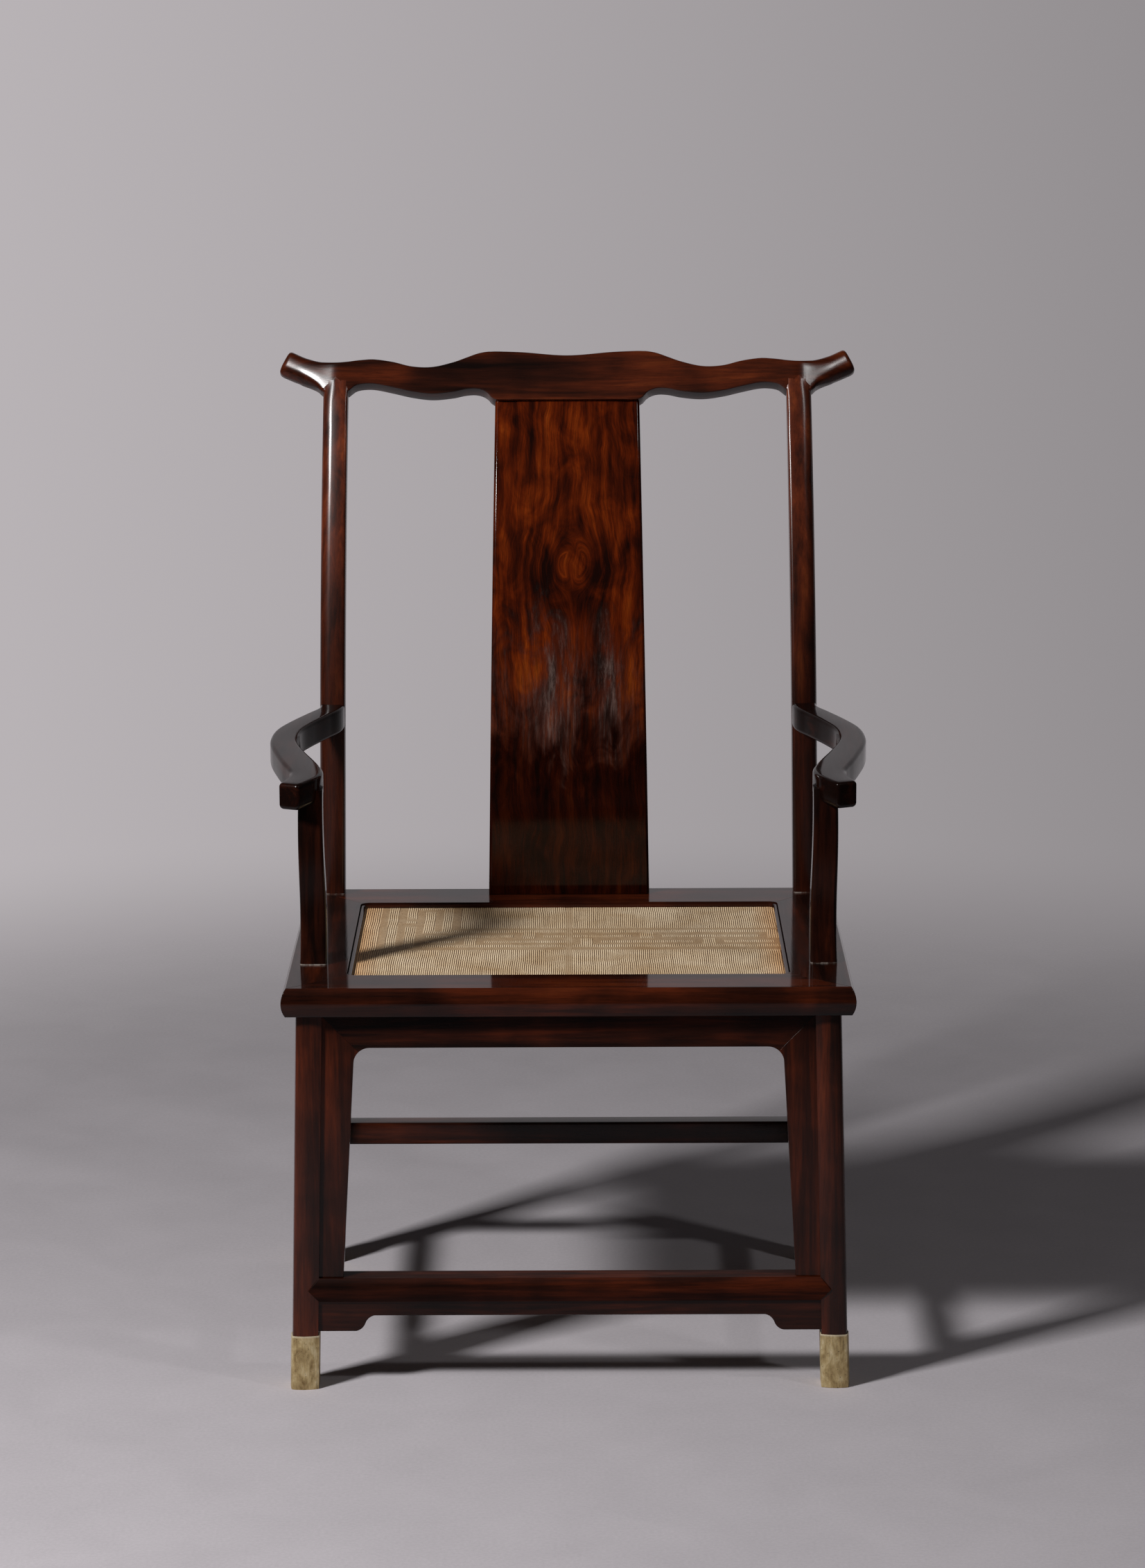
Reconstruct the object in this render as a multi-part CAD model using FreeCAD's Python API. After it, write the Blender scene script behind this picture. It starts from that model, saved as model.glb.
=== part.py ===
import FreeCAD, Part
import math
import os

V = FreeCAD.Vector
UP = V(0, 0, 1)

# Seat frame. Heights are from the floor, depths from the front nose of the seat.
SEAT_WIDTH = 700.0
SEAT_DEPTH = 560.0
SEAT_TOP = 510.0
SEAT_THICK = 36.0
NOSE_TOP_INSET = 6.0
NOSE_BOTTOM_INSET = 5.0
NOSE_DROP = 20.0
FRONT_Y = -343.8
OPENING_HALF = 273.0
OPENING_FRONT = 74.0
OPENING_REAR = 473.0
OPENING_RADIUS = 12.0
LEDGE = 12.0
LEDGE_RADIUS = 8.0
LEDGE_DEPTH = 10.5
FRAME_TENON = 12.0
FRONT_TENON_Y = (46.0, 66.0)
REAR_TENON_Y = (480.0, 508.0)

# Mat, webbing and press strips, bottom up on the ledge
WEB_THICK = 2.0
MAT_THICK = 2.5
STRIP_WIDTH = 5.0
STRIP_HEIGHT = 4.5
MAT_PLAY = 0.5
WEB_COLUMNS = 12
WEB_ROWS = 8
WEB_CORD = 9.0
BRACE_X = 120.0
BRACE_SIZE = 22.0
BRACE_SAG = 16.0
BRACE_TOP = 494.0
BRACE_TENON = 14.0
BRACE_TENON_HALF = 7.0
BRACE_CHAMFER = 3.0
STRIP_CHAMFER = 1.2

# Rounded corners of shaped sticks are planed in this many facets, corners turned down or back in fewer
CORNER_FACETS = 2
UNDER_FACETS = 1

# Legs lean outward by the same run on both faces
LEG_SIZE = 32.5
LEG_LEAN = 11.0
FRONT_LEG_X = 317.5
FRONT_LEG_Y = 31.0
REAR_POST_X = 313.0
REAR_POST_Y = 538.0
LEG_TENON = 12.0
LEG_TENON_RISE = 22.0
LEG_TENON_APART = 8.0

# Rear posts above the seat
POST_FOOT = 33.0
POST_HEAD = 32.5
POST_HEAD_DEEPEN = 0.08
POST_ROUND_OUT = 13.0
POST_ROUND_IN = 4.0
POST_HEAD_X = 305.0
BEND_START = 700.0
BEND_RADIUS = 1150.0
POST_END = 1173.0
POINT_RISE = 13.0
POINT_DEPTH = 13.0

# Crest rail
CREST_MID_Z = 1190.0
CREST_TILT = 24.0
CREST_DEPTH = 36.0
CREST_POST_DEPTH = 32.5
CREST_END_DEPTH = 27.0
CREST_BOW = 14.0
CREST_END_BOW = 22.0
CREST_HALF = 381.0
CREST_BACK_ROUND = 9.0
CREST_UNDER_ROUND = 5.0
CREST_FRONT_ROUND = 4.0
CREST_END_ROUND = 8.0
CREST_ARRIS = 2.0

# Back splat
SPLAT_THICK = 13.0
SPLAT_FOOT_HALF = 106.0
SPLAT_HEAD_HALF = 95.0
SPLAT_HEAD_Z = 1160.0
SPLAT_FOOT_Y = 519.0
SPLAT_BEVEL = 3.0
SPLAT_TONGUE = 12.0
TONGUE_THICK = 7.0

# Arms and arm posts
ARM_HEIGHT = 33.0
ARM_REAR_TOP = 766.0
ARM_FRONT_TOP = 743.5
ARM_POST_X = 316.5
ARM_POST_Y = 141.5
ARM_POST_FOOT = 33.5
ARM_POST_HEAD_X = 318.0
ARM_POST_HEAD_Y = 150.0
ARM_POST_HEAD = 30.0
STUB = 13.0
STUB_LENGTH = 16.0
ARM_TOP_ROUND = 4.5
ARM_UNDER_ROUND = 6.0
ARM_POST_ROUND = 4.5
ARM_POST_SWAY = V(0.8, 3, 0)
ARM_POST_TENON = 16.0

# Arched aprons and spandrels
APRON_THICK = 12.0
APRON_SETBACK = 8.0
APRON_DROP = 43.0
ARCH_RADIUS = 20.0
SPANDREL_TOP_WIDTH = 40.0
SPANDREL_FOOT_WIDTH = 30.0
TONGUE = 6.0
REAR_DROP = 34.0
REAR_TOE = 18.0
REAR_TURN = 16.0

# Foot rail, its apron and the stretchers
RAIL_BOTTOM = 111.0
RAIL_HEIGHT = 30.0
RAIL_DEPTH = 36.0
RAIL_BULGE = 5.0
RAIL_LAP = 13.0
RAIL_TENON = 18.0
RAIL_TENON_THICK = 10.0
RAIL_PROUD = 0.8
SKIRT_MID = 92.0
SKIRT_END = 72.0
SKIRT_STEP_IN = 241.0
SKIRT_STEP_OUT = 264.0
SIDE_STRETCHER_Z = 139.0
REAR_STRETCHER_Z = 164.5
STRETCHER_SIZE = 27.0
REAR_STRETCHER_SIZE = 30.0
STRETCHER_ROUND = 3.0

# Metal shoes
SABOT_WALL = 1.5
SABOT_HEIGHT = 68.0
SABOT_SOLE = 2.0

# Tenon pegs
PEG_RADIUS = 3.0
PEG_LENGTH = 20.0

SEAT_BOTTOM = SEAT_TOP - SEAT_THICK
LEDGE_Z = SEAT_TOP - LEDGE_DEPTH
WEB_TOP = LEDGE_Z + WEB_THICK
MAT_TOP = WEB_TOP + MAT_THICK
LEAN_ANGLE = math.degrees(math.atan2(LEG_LEAN, SEAT_BOTTOM))
REAR_Y = FRONT_Y + SEAT_DEPTH
HALF_WIDTH = SEAT_WIDTH / 2


def depth(y):
    """distance behind the seat's front nose, as a Y coordinate"""
    return FRONT_Y + y


def box(x0, x1, y0, y1, z0, z1):
    return Part.makeBox(x1 - x0, y1 - y0, z1 - z0, V(x0, y0, z0))


def prism(points, push):
    return Part.Face(Part.makePolygon(points + points[:1])).extrude(push)


def curve(points):
    spline = Part.BSplineCurve()
    spline.interpolate(points)
    return spline


def arc(a, b, c):
    return Part.Arc(a, b, c).toShape()


def line(a, b):
    return Part.LineSegment(a, b).toShape()


def mirrored(shape):
    return shape.mirror(V(0, 0, 0), V(1, 0, 0))


def soft_corners(origin, across, up, width, height, radii, facets=(CORNER_FACETS,) * 4):
    """points round a rectangle with corners planed off in facets; radii begin at the lower near corner"""
    points = []
    for (sx, sy), r, count in zip([(-1, -1), (1, -1), (1, 1), (-1, 1)], radii, facets):
        centre = origin + across * (sx * (width / 2 - r)) + up * (sy * (height / 2 - r))
        start, stop = (across * sx, up * sy) if sx * sy > 0 else (up * sy, across * sx)
        for i in range(count + 1):
            turn = math.pi / 2 * i / count
            points.append(centre + (start * math.cos(turn) + stop * math.sin(turn)) * r)
    return points


def strip(left, right):
    """surface between two lengthwise splines that share their knots"""
    surface = Part.BSplineSurface()
    surface.buildFromPolesMultsKnots([left.getPoles(), right.getPoles()], [2, 2], left.getMultiplicities(),
                                     [0, 1], left.getKnots(), False, False, 1, left.Degree)
    return surface.toShape()


def skinned(sections):
    """solid carried smoothly through a row of soft-cornered sections"""
    starts = [points[0] for points in sections]
    travel = [0.0]
    for a, b in zip(starts, starts[1:]):
        travel.append(travel[-1] + (b - a).Length)
    rows = []
    for points in zip(*sections):
        row = Part.BSplineCurve()
        row.interpolate(Points=list(points), Parameters=travel)
        rows.append(row)
    faces = [Part.Face(Part.makePolygon(ring + ring[:1])) for ring in (sections[0], sections[-1])]
    faces += [strip(rows[i - 1], rows[i]) for i in range(len(rows))]
    shell = Part.makeShell(faces)
    shell.sewShape()
    return Part.Solid(shell.Shells[0])


def leg_centre(x, y, front, z):
    """centre of a left leg, leaning out below the seat"""
    lean = LEG_LEAN * (SEAT_BOTTOM - z) / SEAT_BOTTOM
    return V(-x - lean, depth(y) - front * lean, z)


def leg_stick(x, y, front, low, high, size):
    """leaning left leg: two outer faces planed gently round, inner corner square"""
    half = [(-1, 0.78), (-0.5, 0.93), (0.1, 1), (0.66, 0.93)]
    ring = [(-1, -1)] + half + [(0.86, 0.86)] + [(b, a) for a, b in reversed(half)]
    foot = leg_centre(x, y, front, low)
    face = [foot - V(a, front * b, 0) * (size / 2) for a, b in ring]
    return prism(face, leg_centre(x, y, front, high) - foot)


def sabot(x, y, front):
    """sheet metal shoe drawn over the foot of a leg, with a sole"""
    shell = leg_stick(x, y, front, 0, SABOT_HEIGHT, LEG_SIZE + 2 * SABOT_WALL)
    return shell.cut(leg_stick(x, y, front, SABOT_SOLE, SABOT_HEIGHT + 1, LEG_SIZE))


def post_centre(z):
    """centre of the left rear post above the seat: upright, then bent backward on an arc"""
    rise = max(0.0, z - BEND_START)
    back = BEND_RADIUS - math.sqrt(BEND_RADIUS ** 2 - rise ** 2)
    part = (z - SEAT_TOP) / (POST_END - SEAT_TOP)
    return V(-REAR_POST_X + part * (REAR_POST_X - POST_HEAD_X), depth(REAR_POST_Y) + back, z)


def post_section(z):
    part = max(0.0, (z - SEAT_TOP) / (POST_END - SEAT_TOP))
    size = POST_FOOT + part * (POST_HEAD - POST_FOOT)
    centre = post_centre(z) if z > SEAT_TOP else V(-REAR_POST_X, depth(REAR_POST_Y), z)
    deep = size * (1 + POST_HEAD_DEEPEN * part)
    radii = [POST_ROUND_OUT, POST_ROUND_IN, POST_ROUND_IN, POST_ROUND_OUT]
    return soft_corners(centre, V(1, 0, 0), V(0, 1, 0), size, deep, radii)


def rear_post_blank():
    """leg below the seat, stile round outside and square inside above it, with a shoulder at the seat"""
    leg = leg_stick(REAR_POST_X, REAR_POST_Y, -1, SABOT_SOLE, SEAT_BOTTOM, LEG_SIZE)
    stem = skinned([post_section(SEAT_BOTTOM), post_section(SEAT_TOP)])
    straight = skinned([post_section(SEAT_TOP), post_section(BEND_START)])
    steps = 5
    heights = [BEND_START + i * (POST_END + 8 - BEND_START) / steps for i in range(steps + 1)]
    stile = skinned([post_section(z) for z in heights])
    return leg.fuse([stem, straight, stile])


def crest_frame(x, rise, out):
    """crest rail point: x, height of its front face at the posts, distance behind its middle plane"""
    tilt = math.radians(CREST_TILT)
    along = (rise - CREST_MID_Z) / math.cos(tilt) - CREST_DEPTH / 2 * math.tan(tilt)
    return V(x, post_centre(CREST_MID_Z).y + along * math.sin(tilt) + out * math.cos(tilt),
             CREST_MID_Z + along * math.cos(tilt) - out * math.sin(tilt))


def crest_direction(rise, out):
    """vector up the leaning face of the crest rail, and through it to the back"""
    tilt = math.radians(CREST_TILT)
    return V(0, math.sin(tilt), math.cos(tilt)) * rise + V(0, math.cos(tilt), -math.sin(tilt)) * out


def crest_stations():
    """x, top and underside of the right half: ear beside the splat, waved bar, neck on the post, tip"""
    ear = [(0, 1216.3, 1160), (60, 1220.3, 1160), (93, 1221.3, 1160), (99, 1221.1, 1162), (106, 1220.8, 1169)]
    wave = [(118, 1218.5, 1173.3), (133, 1213.3, 1172.9), (150, 1207.4, 1169.4), (178, 1201.1, 1166.7),
            (205, 1201.5, 1169.3), (230, 1206.8, 1174.2), (255, 1209.6, 1178.3), (272, 1208.5, 1177.4)]
    neck = [(281, 1207.4, 1174.3), (288, 1206.3, 1168.5), (305, 1205, 1166), (322, 1207, 1169.3)]
    tip = [(329, 1208.8, 1175.3), (338, 1212.2, 1179.7), (350, 1217.5, 1184.5), (371, 1229.3, 1194.5),
           (391, 1241.5, 1204)]
    return ear + wave + neck + tip


def crest_section(x, top, under):
    """cross-section of the crest rail, bowed backward between the posts, tips swept back and rounded"""
    past = max(0.0, abs(x) - POST_HEAD_X) / (CREST_HALF - POST_HEAD_X)
    between = max(0.0, 1 - (x / POST_HEAD_X) ** 2)
    bow = CREST_BOW * between + CREST_END_BOW * past
    thick = CREST_POST_DEPTH + (CREST_DEPTH - CREST_POST_DEPTH) * between
    thick += (CREST_END_DEPTH - CREST_POST_DEPTH) * past
    tall = (top - under) / math.cos(math.radians(CREST_TILT))
    soft = min(1.0, past)
    radii = [CREST_ARRIS + (CREST_END_ROUND - CREST_ARRIS) * soft, CREST_UNDER_ROUND, CREST_BACK_ROUND,
             CREST_FRONT_ROUND + (CREST_END_ROUND - CREST_FRONT_ROUND) * soft]
    facets = (CORNER_FACETS, UNDER_FACETS, CORNER_FACETS, CORNER_FACETS)
    middle = crest_frame(x, (top + under) / 2, bow)
    return soft_corners(middle, crest_direction(0, 1), crest_direction(1, 0), thick, tall, radii, facets)


def eased(shape, radius, wanted):
    """the shape with every edge that passes the test rounded off"""
    return shape.makeFillet(radius, [e for e in shape.Edges if wanted(e)])


def crest_blank():
    """waved crest rail with both ends sawn off on a slant and rounded below"""
    half = crest_stations()
    whole = [(-x, top, under) for x, top, under in reversed(half[1:])] + half
    rail = skinned([crest_section(*station) for station in whole])
    reach = 2 * CREST_DEPTH
    slant = [(-33, 1256), (-15, 1226.5), (0, 1201.5), (-3, 1196), (-14, 1187), (reach, 1187), (reach, 1256)]
    outline = [crest_frame(CREST_HALF + x, z, -reach) for x, z in slant]
    waste = prism(outline, crest_direction(0, 2 * reach))
    return rail.cut([waste, mirrored(waste)])


def post_point(crest):
    """pointed mitre of the left post, flush with the front face of the crest rail"""
    x = post_centre(POST_END).x
    half = POST_HEAD / 2
    reach = 30.0
    low = POST_END - POINT_RISE
    corners = [(x - half, low), (x + half, low), (x + half, POST_END), (x, POST_END + POINT_RISE),
               (x - half, POST_END)]
    front = -CREST_DEPTH / 2
    face = [crest_frame(a, b, front - reach) for a, b in corners]
    wedge = prism(face, crest_direction(0, reach + POINT_DEPTH))
    return crest.common(wedge)


def post_tenon():
    """square tenon of the left post up into the crest rail"""
    x = post_centre(POST_END).x
    half = STUB / 2
    low, back = POST_END - 12, POINT_DEPTH - CREST_DEPTH / 2 + 1
    corners = [(x - half, back), (x + half, back), (x + half, back + STUB), (x - half, back + STUB)]
    return prism([crest_frame(a, low, b) for a, b in corners], crest_direction(STUB_LENGTH + 16, 0))


def peg(start, ahead, length):
    """whittled eight-sided peg"""
    across = ahead.cross(V(1, 0, 0) if abs(ahead.x) < 0.5 else UP).normalize()
    over = ahead.cross(across)
    turns = [math.pi / 8 + i * math.pi / 4 for i in range(8)]
    ring = [start + (across * math.cos(t) + over * math.sin(t)) * PEG_RADIUS for t in turns]
    return prism(ring, ahead * length)


def crest_peg():
    """peg driven from the back of the crest rail through the left tenon"""
    x = post_centre(POST_END).x
    start = crest_frame(x, POST_END + 12, CREST_DEPTH / 2 - PEG_LENGTH)
    return peg(start, crest_direction(0, 1), PEG_LENGTH + 5)


def splat_board(thick, low, high, margin):
    """board bent in an S seen from the side, tapering upward"""
    head = crest_frame(0, SPLAT_HEAD_Z, CREST_BOW).y
    foot = depth(SPLAT_FOOT_Y) + SPLAT_THICK / 2
    run = head - foot
    spots = [(0, -0.16), (0, 0), (-0.012, 0.3), (0.17, 0.58), (0.52, 0.8), (1, 1), (1.22, 1.08)]
    rise = SPLAT_HEAD_Z - SEAT_TOP

    def side(shift):
        return curve([V(0, foot + run * a + shift, SEAT_TOP + rise * b) for a, b in spots]).toShape()

    front, back = side(-thick / 2), side(thick / 2)
    caps = [line(front.Vertexes[i].Point, back.Vertexes[i].Point) for i in (0, 1)]
    face = Part.Face(Part.Wire(Part.__sortEdges__([front, back] + caps)))
    wide = SPLAT_FOOT_HALF
    slab = face.extrude(V(2 * wide, 0, 0))
    slab.translate(V(-wide, 0, 0))

    def half(z):
        part = (z - SEAT_TOP) / rise
        return SPLAT_FOOT_HALF + part * (SPLAT_HEAD_HALF - SPLAT_FOOT_HALF) - margin

    corners = [(-half(low), low), (half(low), low), (half(high), high), (-half(high), high)]
    return slab.common(prism([V(x, depth(0), z) for x, z in corners], V(0, 2 * SEAT_DEPTH, 0)))


def back_splat(crest):
    """bevelled board, shouldered under the crest rail, with thin tongues top and bottom"""
    board = splat_board(SPLAT_THICK, SEAT_TOP, SPLAT_HEAD_Z + 10, 0)
    board = board.makeChamfer(SPLAT_BEVEL, [e for e in board.Edges if e.Length > 600])
    tongue = splat_board(TONGUE_THICK, SEAT_TOP - SPLAT_TONGUE, SPLAT_HEAD_Z + SPLAT_TONGUE, 6)
    return board.cut(crest).fuse(tongue)


def arm_stations():
    """x, depth and width of the left arm seen from above, from its tip to the rear post"""
    tip = [(343, 107, 27), (334.5, 125, 32), (326, 148, 38), (324, 172, 41), (329, 196, 42), (338, 228, 42)]
    bow = [(349, 268, 39), (358.5, 308, 36), (362.5, 345, 34.5), (358.5, 390, 34), (344.5, 432, 33.5)]
    root = [(325, 477, 33), (312, 507, 32), (309.5, 540, 32)]
    return tip + bow + root


def arm_level(y):
    """height of the arm's middle, falling gently to the front"""
    tip = arm_stations()[0][1]
    return ARM_FRONT_TOP - ARM_HEIGHT / 2 + (ARM_REAR_TOP - ARM_FRONT_TOP) * (y - tip) / (REAR_POST_Y - tip)


def arm_blank():
    """left arm: soft rectangle carried along an S, rounder below"""
    stations = arm_stations()
    spots = [V(-x, depth(y), arm_level(y)) for x, y, _ in stations]
    path = curve(spots)
    radii = [ARM_UNDER_ROUND] * 2 + [ARM_TOP_ROUND] * 2
    facets = [UNDER_FACETS] * 2 + [CORNER_FACETS] * 2
    sections = []
    for spot, (_, _, width) in zip(spots, stations):
        ahead = path.tangent(path.parameter(spot))[0]
        across = V(ahead.y, -ahead.x, 0).normalize()
        sections.append(soft_corners(spot, across, UP, width, ARM_HEIGHT, radii, facets))
    return skinned(sections)


def arm_post_blank():
    """left arm post: gently bent, thinner at the head, reaching into the arm"""
    foot = V(-ARM_POST_X, depth(ARM_POST_Y), SEAT_TOP)
    head = V(-ARM_POST_HEAD_X, depth(ARM_POST_HEAD_Y), arm_level(ARM_POST_HEAD_Y))
    sections = []
    steps = 6
    for i in range(steps + 1):
        part = i / steps
        sway = ARM_POST_SWAY * math.sin(2 * math.pi * part)
        size = ARM_POST_FOOT + (ARM_POST_HEAD - ARM_POST_FOOT) * part
        centre = foot + (head - foot) * part + sway
        sections.append(soft_corners(centre, V(1, 0, 0), V(0, 1, 0), size, size, [ARM_POST_ROUND] * 4))
    return skinned(sections), head


def centred_block(centre, x, y, low, high):
    return box(centre.x - x / 2, centre.x + x / 2, centre.y - y / 2, centre.y + y / 2, low, high)


def nose_slab(side_on):
    """slab of the seat with rounded noses on two edges, running past its ends"""
    low, high = (FRONT_Y, REAR_Y) if side_on else (-HALF_WIDTH, HALF_WIDTH)
    past = LEDGE

    def at(a, z):
        return V(-HALF_WIDTH - past, a, z) if side_on else V(a, FRONT_Y - past, z)

    near = [at(low + NOSE_TOP_INSET, SEAT_TOP), at(low, SEAT_TOP - NOSE_DROP),
            at(low + NOSE_BOTTOM_INSET, SEAT_BOTTOM)]
    far = [at(high - NOSE_TOP_INSET, SEAT_TOP), at(high, SEAT_TOP - NOSE_DROP),
           at(high - NOSE_BOTTOM_INSET, SEAT_BOTTOM)]
    face = Part.Face(Part.Wire([arc(*near), line(near[2], far[2]), arc(*far[::-1]), line(far[0], near[0])]))
    return face.extrude(V(SEAT_WIDTH + 2 * past, 0, 0) if side_on else V(0, SEAT_DEPTH + 2 * past, 0))


def opening(inset, radius, low, high):
    """round-cornered block standing in the seat opening"""
    x = OPENING_HALF - inset
    block = box(-x, x, depth(OPENING_FRONT + inset), depth(OPENING_REAR - inset), low, high)
    return eased(block, radius, lambda e: abs(e.Vertexes[0].Z - e.Vertexes[1].Z) > 0.5 * (high - low))


def mitre_sector(side, low, high):
    """plan wedge that holds one rail of the seat: front, rear, left or right"""
    def corner(sx, rear, t):
        edge, inner = (SEAT_DEPTH, OPENING_REAR) if rear else (0, OPENING_FRONT)
        return V(sx * (HALF_WIDTH + t * (OPENING_HALF - HALF_WIDTH)), depth(edge + t * (inner - edge)), low)
    ends = {"front": [(-1, False), (1, False)], "rear": [(-1, True), (1, True)],
            "left": [(-1, False), (-1, True)], "right": [(1, False), (1, True)]}[side]
    a, b = ends
    outside, inside = -0.1, 1.6
    plan = [corner(*a, outside), corner(*b, outside), corner(*b, inside), corner(*a, inside)]
    return prism(plan, UP * (high - low))


SIDES = ("front", "rear", "left", "right")


def seat_rails():
    """four mitred rails with a rebate for the mat; front and rear tenons run through the side rails"""
    wells = [opening(0, OPENING_RADIUS, LEDGE_Z, SEAT_TOP + 1),
             opening(LEDGE, LEDGE_RADIUS, SEAT_BOTTOM - 1, SEAT_TOP)]
    rails = {}
    for side in SIDES:
        slab = nose_slab(side in ("front", "rear")).cut(wells)
        rails[side] = slab.common(mitre_sector(side, SEAT_BOTTOM - 1, SEAT_TOP + 1))
    middle = SEAT_BOTTOM + SEAT_THICK / 2
    for rail, near, far in (("front", *FRONT_TENON_Y), ("rear", *REAR_TENON_Y)):
        for side, turn in (("left", -1), ("right", 1)):
            x0, x1 = sorted((turn * (HALF_WIDTH + LEDGE), turn * OPENING_HALF))
            tenon = box(x0, x1, depth(near), depth(far), middle - FRAME_TENON / 2, middle + FRAME_TENON / 2)
            tenon = tenon.common(rails[side])
            rails[side] = rails[side].cut(tenon)
            rails[rail] = rails[rail].fuse(tenon).removeSplitter()
    return rails


def mat_strips():
    """four strips pinning the edge of the mat, mitred at the corners"""
    top = MAT_TOP + STRIP_HEIGHT
    ring = opening(MAT_PLAY, OPENING_RADIUS, MAT_TOP, top).cut(
        opening(MAT_PLAY + STRIP_WIDTH, OPENING_RADIUS - STRIP_WIDTH, MAT_TOP - 1, top + 1))
    ring = ring.makeChamfer(STRIP_CHAMFER, [e for e in ring.Edges if abs(e.CenterOfMass.z - top) < 0.01])
    return {side: ring.common(mitre_sector(side, MAT_TOP - 1, top + 1)) for side in SIDES}


def seat_webbing():
    """crossed flat cords of palm fibre, laid on the rebate under the mat"""
    sheet = opening(MAT_PLAY, OPENING_RADIUS, LEDGE_Z, WEB_TOP)
    edge = LEDGE + MAT_PLAY
    width = 2 * (OPENING_HALF - edge)
    length = OPENING_REAR - OPENING_FRONT - 2 * edge
    step_x, step_y = (width + WEB_CORD) / WEB_COLUMNS, (length + WEB_CORD) / WEB_ROWS
    gaps = []
    for i in range(WEB_COLUMNS):
        for j in range(WEB_ROWS):
            x, y = -width / 2 + i * step_x, depth(OPENING_FRONT + edge + j * step_y)
            gaps.append(box(x, x + step_x - WEB_CORD, y, y + step_y - WEB_CORD, LEDGE_Z - 1, WEB_TOP + 1))
    return sheet.cut(gaps)


def seat_brace():
    """left brace under the webbing, bowed down so that the mat can give, tenoned front and rear"""
    near, far = depth(OPENING_FRONT + LEDGE), depth(OPENING_REAR - LEDGE)
    middle = (near + far) / 2

    def bow(z):
        return arc(V(0, near, z), V(0, middle, z - BRACE_SAG), V(0, far, z))

    low = BRACE_TOP - BRACE_SIZE
    sides = [line(V(0, y, low), V(0, y, BRACE_TOP)) for y in (near, far)]
    face = Part.Face(Part.Wire(Part.__sortEdges__([bow(low), bow(BRACE_TOP)] + sides)))
    bar = face.extrude(V(BRACE_SIZE, 0, 0))
    bar = bar.makeChamfer(BRACE_CHAMFER, [e for e in bar.Edges if e.Length > 300])
    bar.translate(V(-BRACE_X - BRACE_SIZE / 2, 0, 0))
    left, right = -BRACE_X - BRACE_TENON_HALF, -BRACE_X + BRACE_TENON_HALF
    tenon = box(left, right, near - BRACE_TENON, far + BRACE_TENON, low + 8, BRACE_TOP - 4)
    gap = box(left, right, near, far, low, BRACE_TOP)
    return bar.fuse(tenon.cut(gap))


def arch(half, foot):
    """mitred arch facing -Y between two leaning legs: apron, left spandrel, right spandrel"""
    def lean(z):
        return LEG_LEAN * (SEAT_BOTTOM - z) / SEAT_BOTTOM

    seat = SEAT_BOTTOM + TONGUE / 2
    outer = [(half + TONGUE, seat), (half + lean(foot) + TONGUE, foot)]
    under = SEAT_BOTTOM - APRON_DROP
    inner = [(half + lean(under) - SPANDREL_TOP_WIDTH, under),
             (half + lean(foot) - SPANDREL_FOOT_WIDTH, foot - 1)]

    def trapezoid(pair, push):
        (a, high), (b, low) = pair
        return prism([V(-a, 0, high), V(a, 0, high), V(b, 0, low), V(-b, 0, low)], V(0, push, 0))

    hole = eased(trapezoid(inner, APRON_THICK), ARCH_RADIUS, lambda e: e.CenterOfMass.z > under - 1
                 and abs(e.CenterOfMass.x) > 1 and e.Length < APRON_THICK + 1)
    board = trapezoid(outer, APRON_THICK).cut(hole)
    (a, high), (b, low) = outer[0], inner[0]
    reach = 1.8
    sector = [(a, high), (a - reach * (a - b), high - reach * (high - low))]
    apron = board.common(trapezoid(sector, APRON_THICK))
    wing = board.cut(apron)
    pieces = [apron] + sorted(wing.Solids, key=lambda s: s.CenterOfMass.x)
    for piece in pieces:
        piece.rotate(V(0, 0, SEAT_BOTTOM), V(1, 0, 0), -LEAN_ANGLE)
    return pieces


def front_arch():
    pieces = arch(FRONT_LEG_X - LEG_SIZE / 2, RAIL_BOTTOM + RAIL_HEIGHT - TONGUE / 2)
    for piece in pieces:
        piece.translate(V(0, depth(FRONT_LEG_Y - LEG_SIZE / 2 + APRON_SETBACK), 0))
    return pieces


def left_arch():
    """apron, rear spandrel and front spandrel between the left legs"""
    front, rear = FRONT_LEG_Y + LEG_SIZE / 2, REAR_POST_Y - LEG_SIZE / 2
    pieces = arch((rear - front) / 2, SIDE_STRETCHER_Z + STRETCHER_SIZE - TONGUE / 2)
    outside = -(FRONT_LEG_X + REAR_POST_X) / 2 - LEG_SIZE / 2 + APRON_SETBACK
    for piece in pieces:
        piece.rotate(V(0, 0, 0), UP, -90)
        piece.translate(V(outside, depth((front + rear) / 2), 0))
    return pieces


def rear_apron():
    """plain board under the rear rail with a rounded drop at each leg"""
    half = REAR_POST_X - LEG_SIZE / 2 + TONGUE
    top, under, drop = SEAT_BOTTOM + TONGUE / 2, SEAT_BOTTOM - APRON_DROP, REAR_DROP
    toe, turn = half - REAR_TOE, REAR_TURN
    y = depth(REAR_POST_Y + LEG_SIZE / 2 - APRON_SETBACK - APRON_THICK)

    def at(x, z):
        return V(x, y, z)

    edges = [line(at(-half, top), at(half, top)), line(at(-toe + 2 * turn, under), at(toe - 2 * turn, under))]
    for s in (1, -1):
        edges.append(line(at(s * half, top), at(s * half, under - drop)))
        edges.append(line(at(s * half, under - drop), at(s * toe, under - drop)))
        edges.append(arc(at(s * toe, under - drop), at(s * (toe - 0.6 * turn), under - 0.3 * drop),
                         at(s * (toe - 2 * turn), under)))
    return Part.Face(Part.Wire(Part.__sortEdges__(edges))).extrude(V(0, APRON_THICK, 0))


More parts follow.
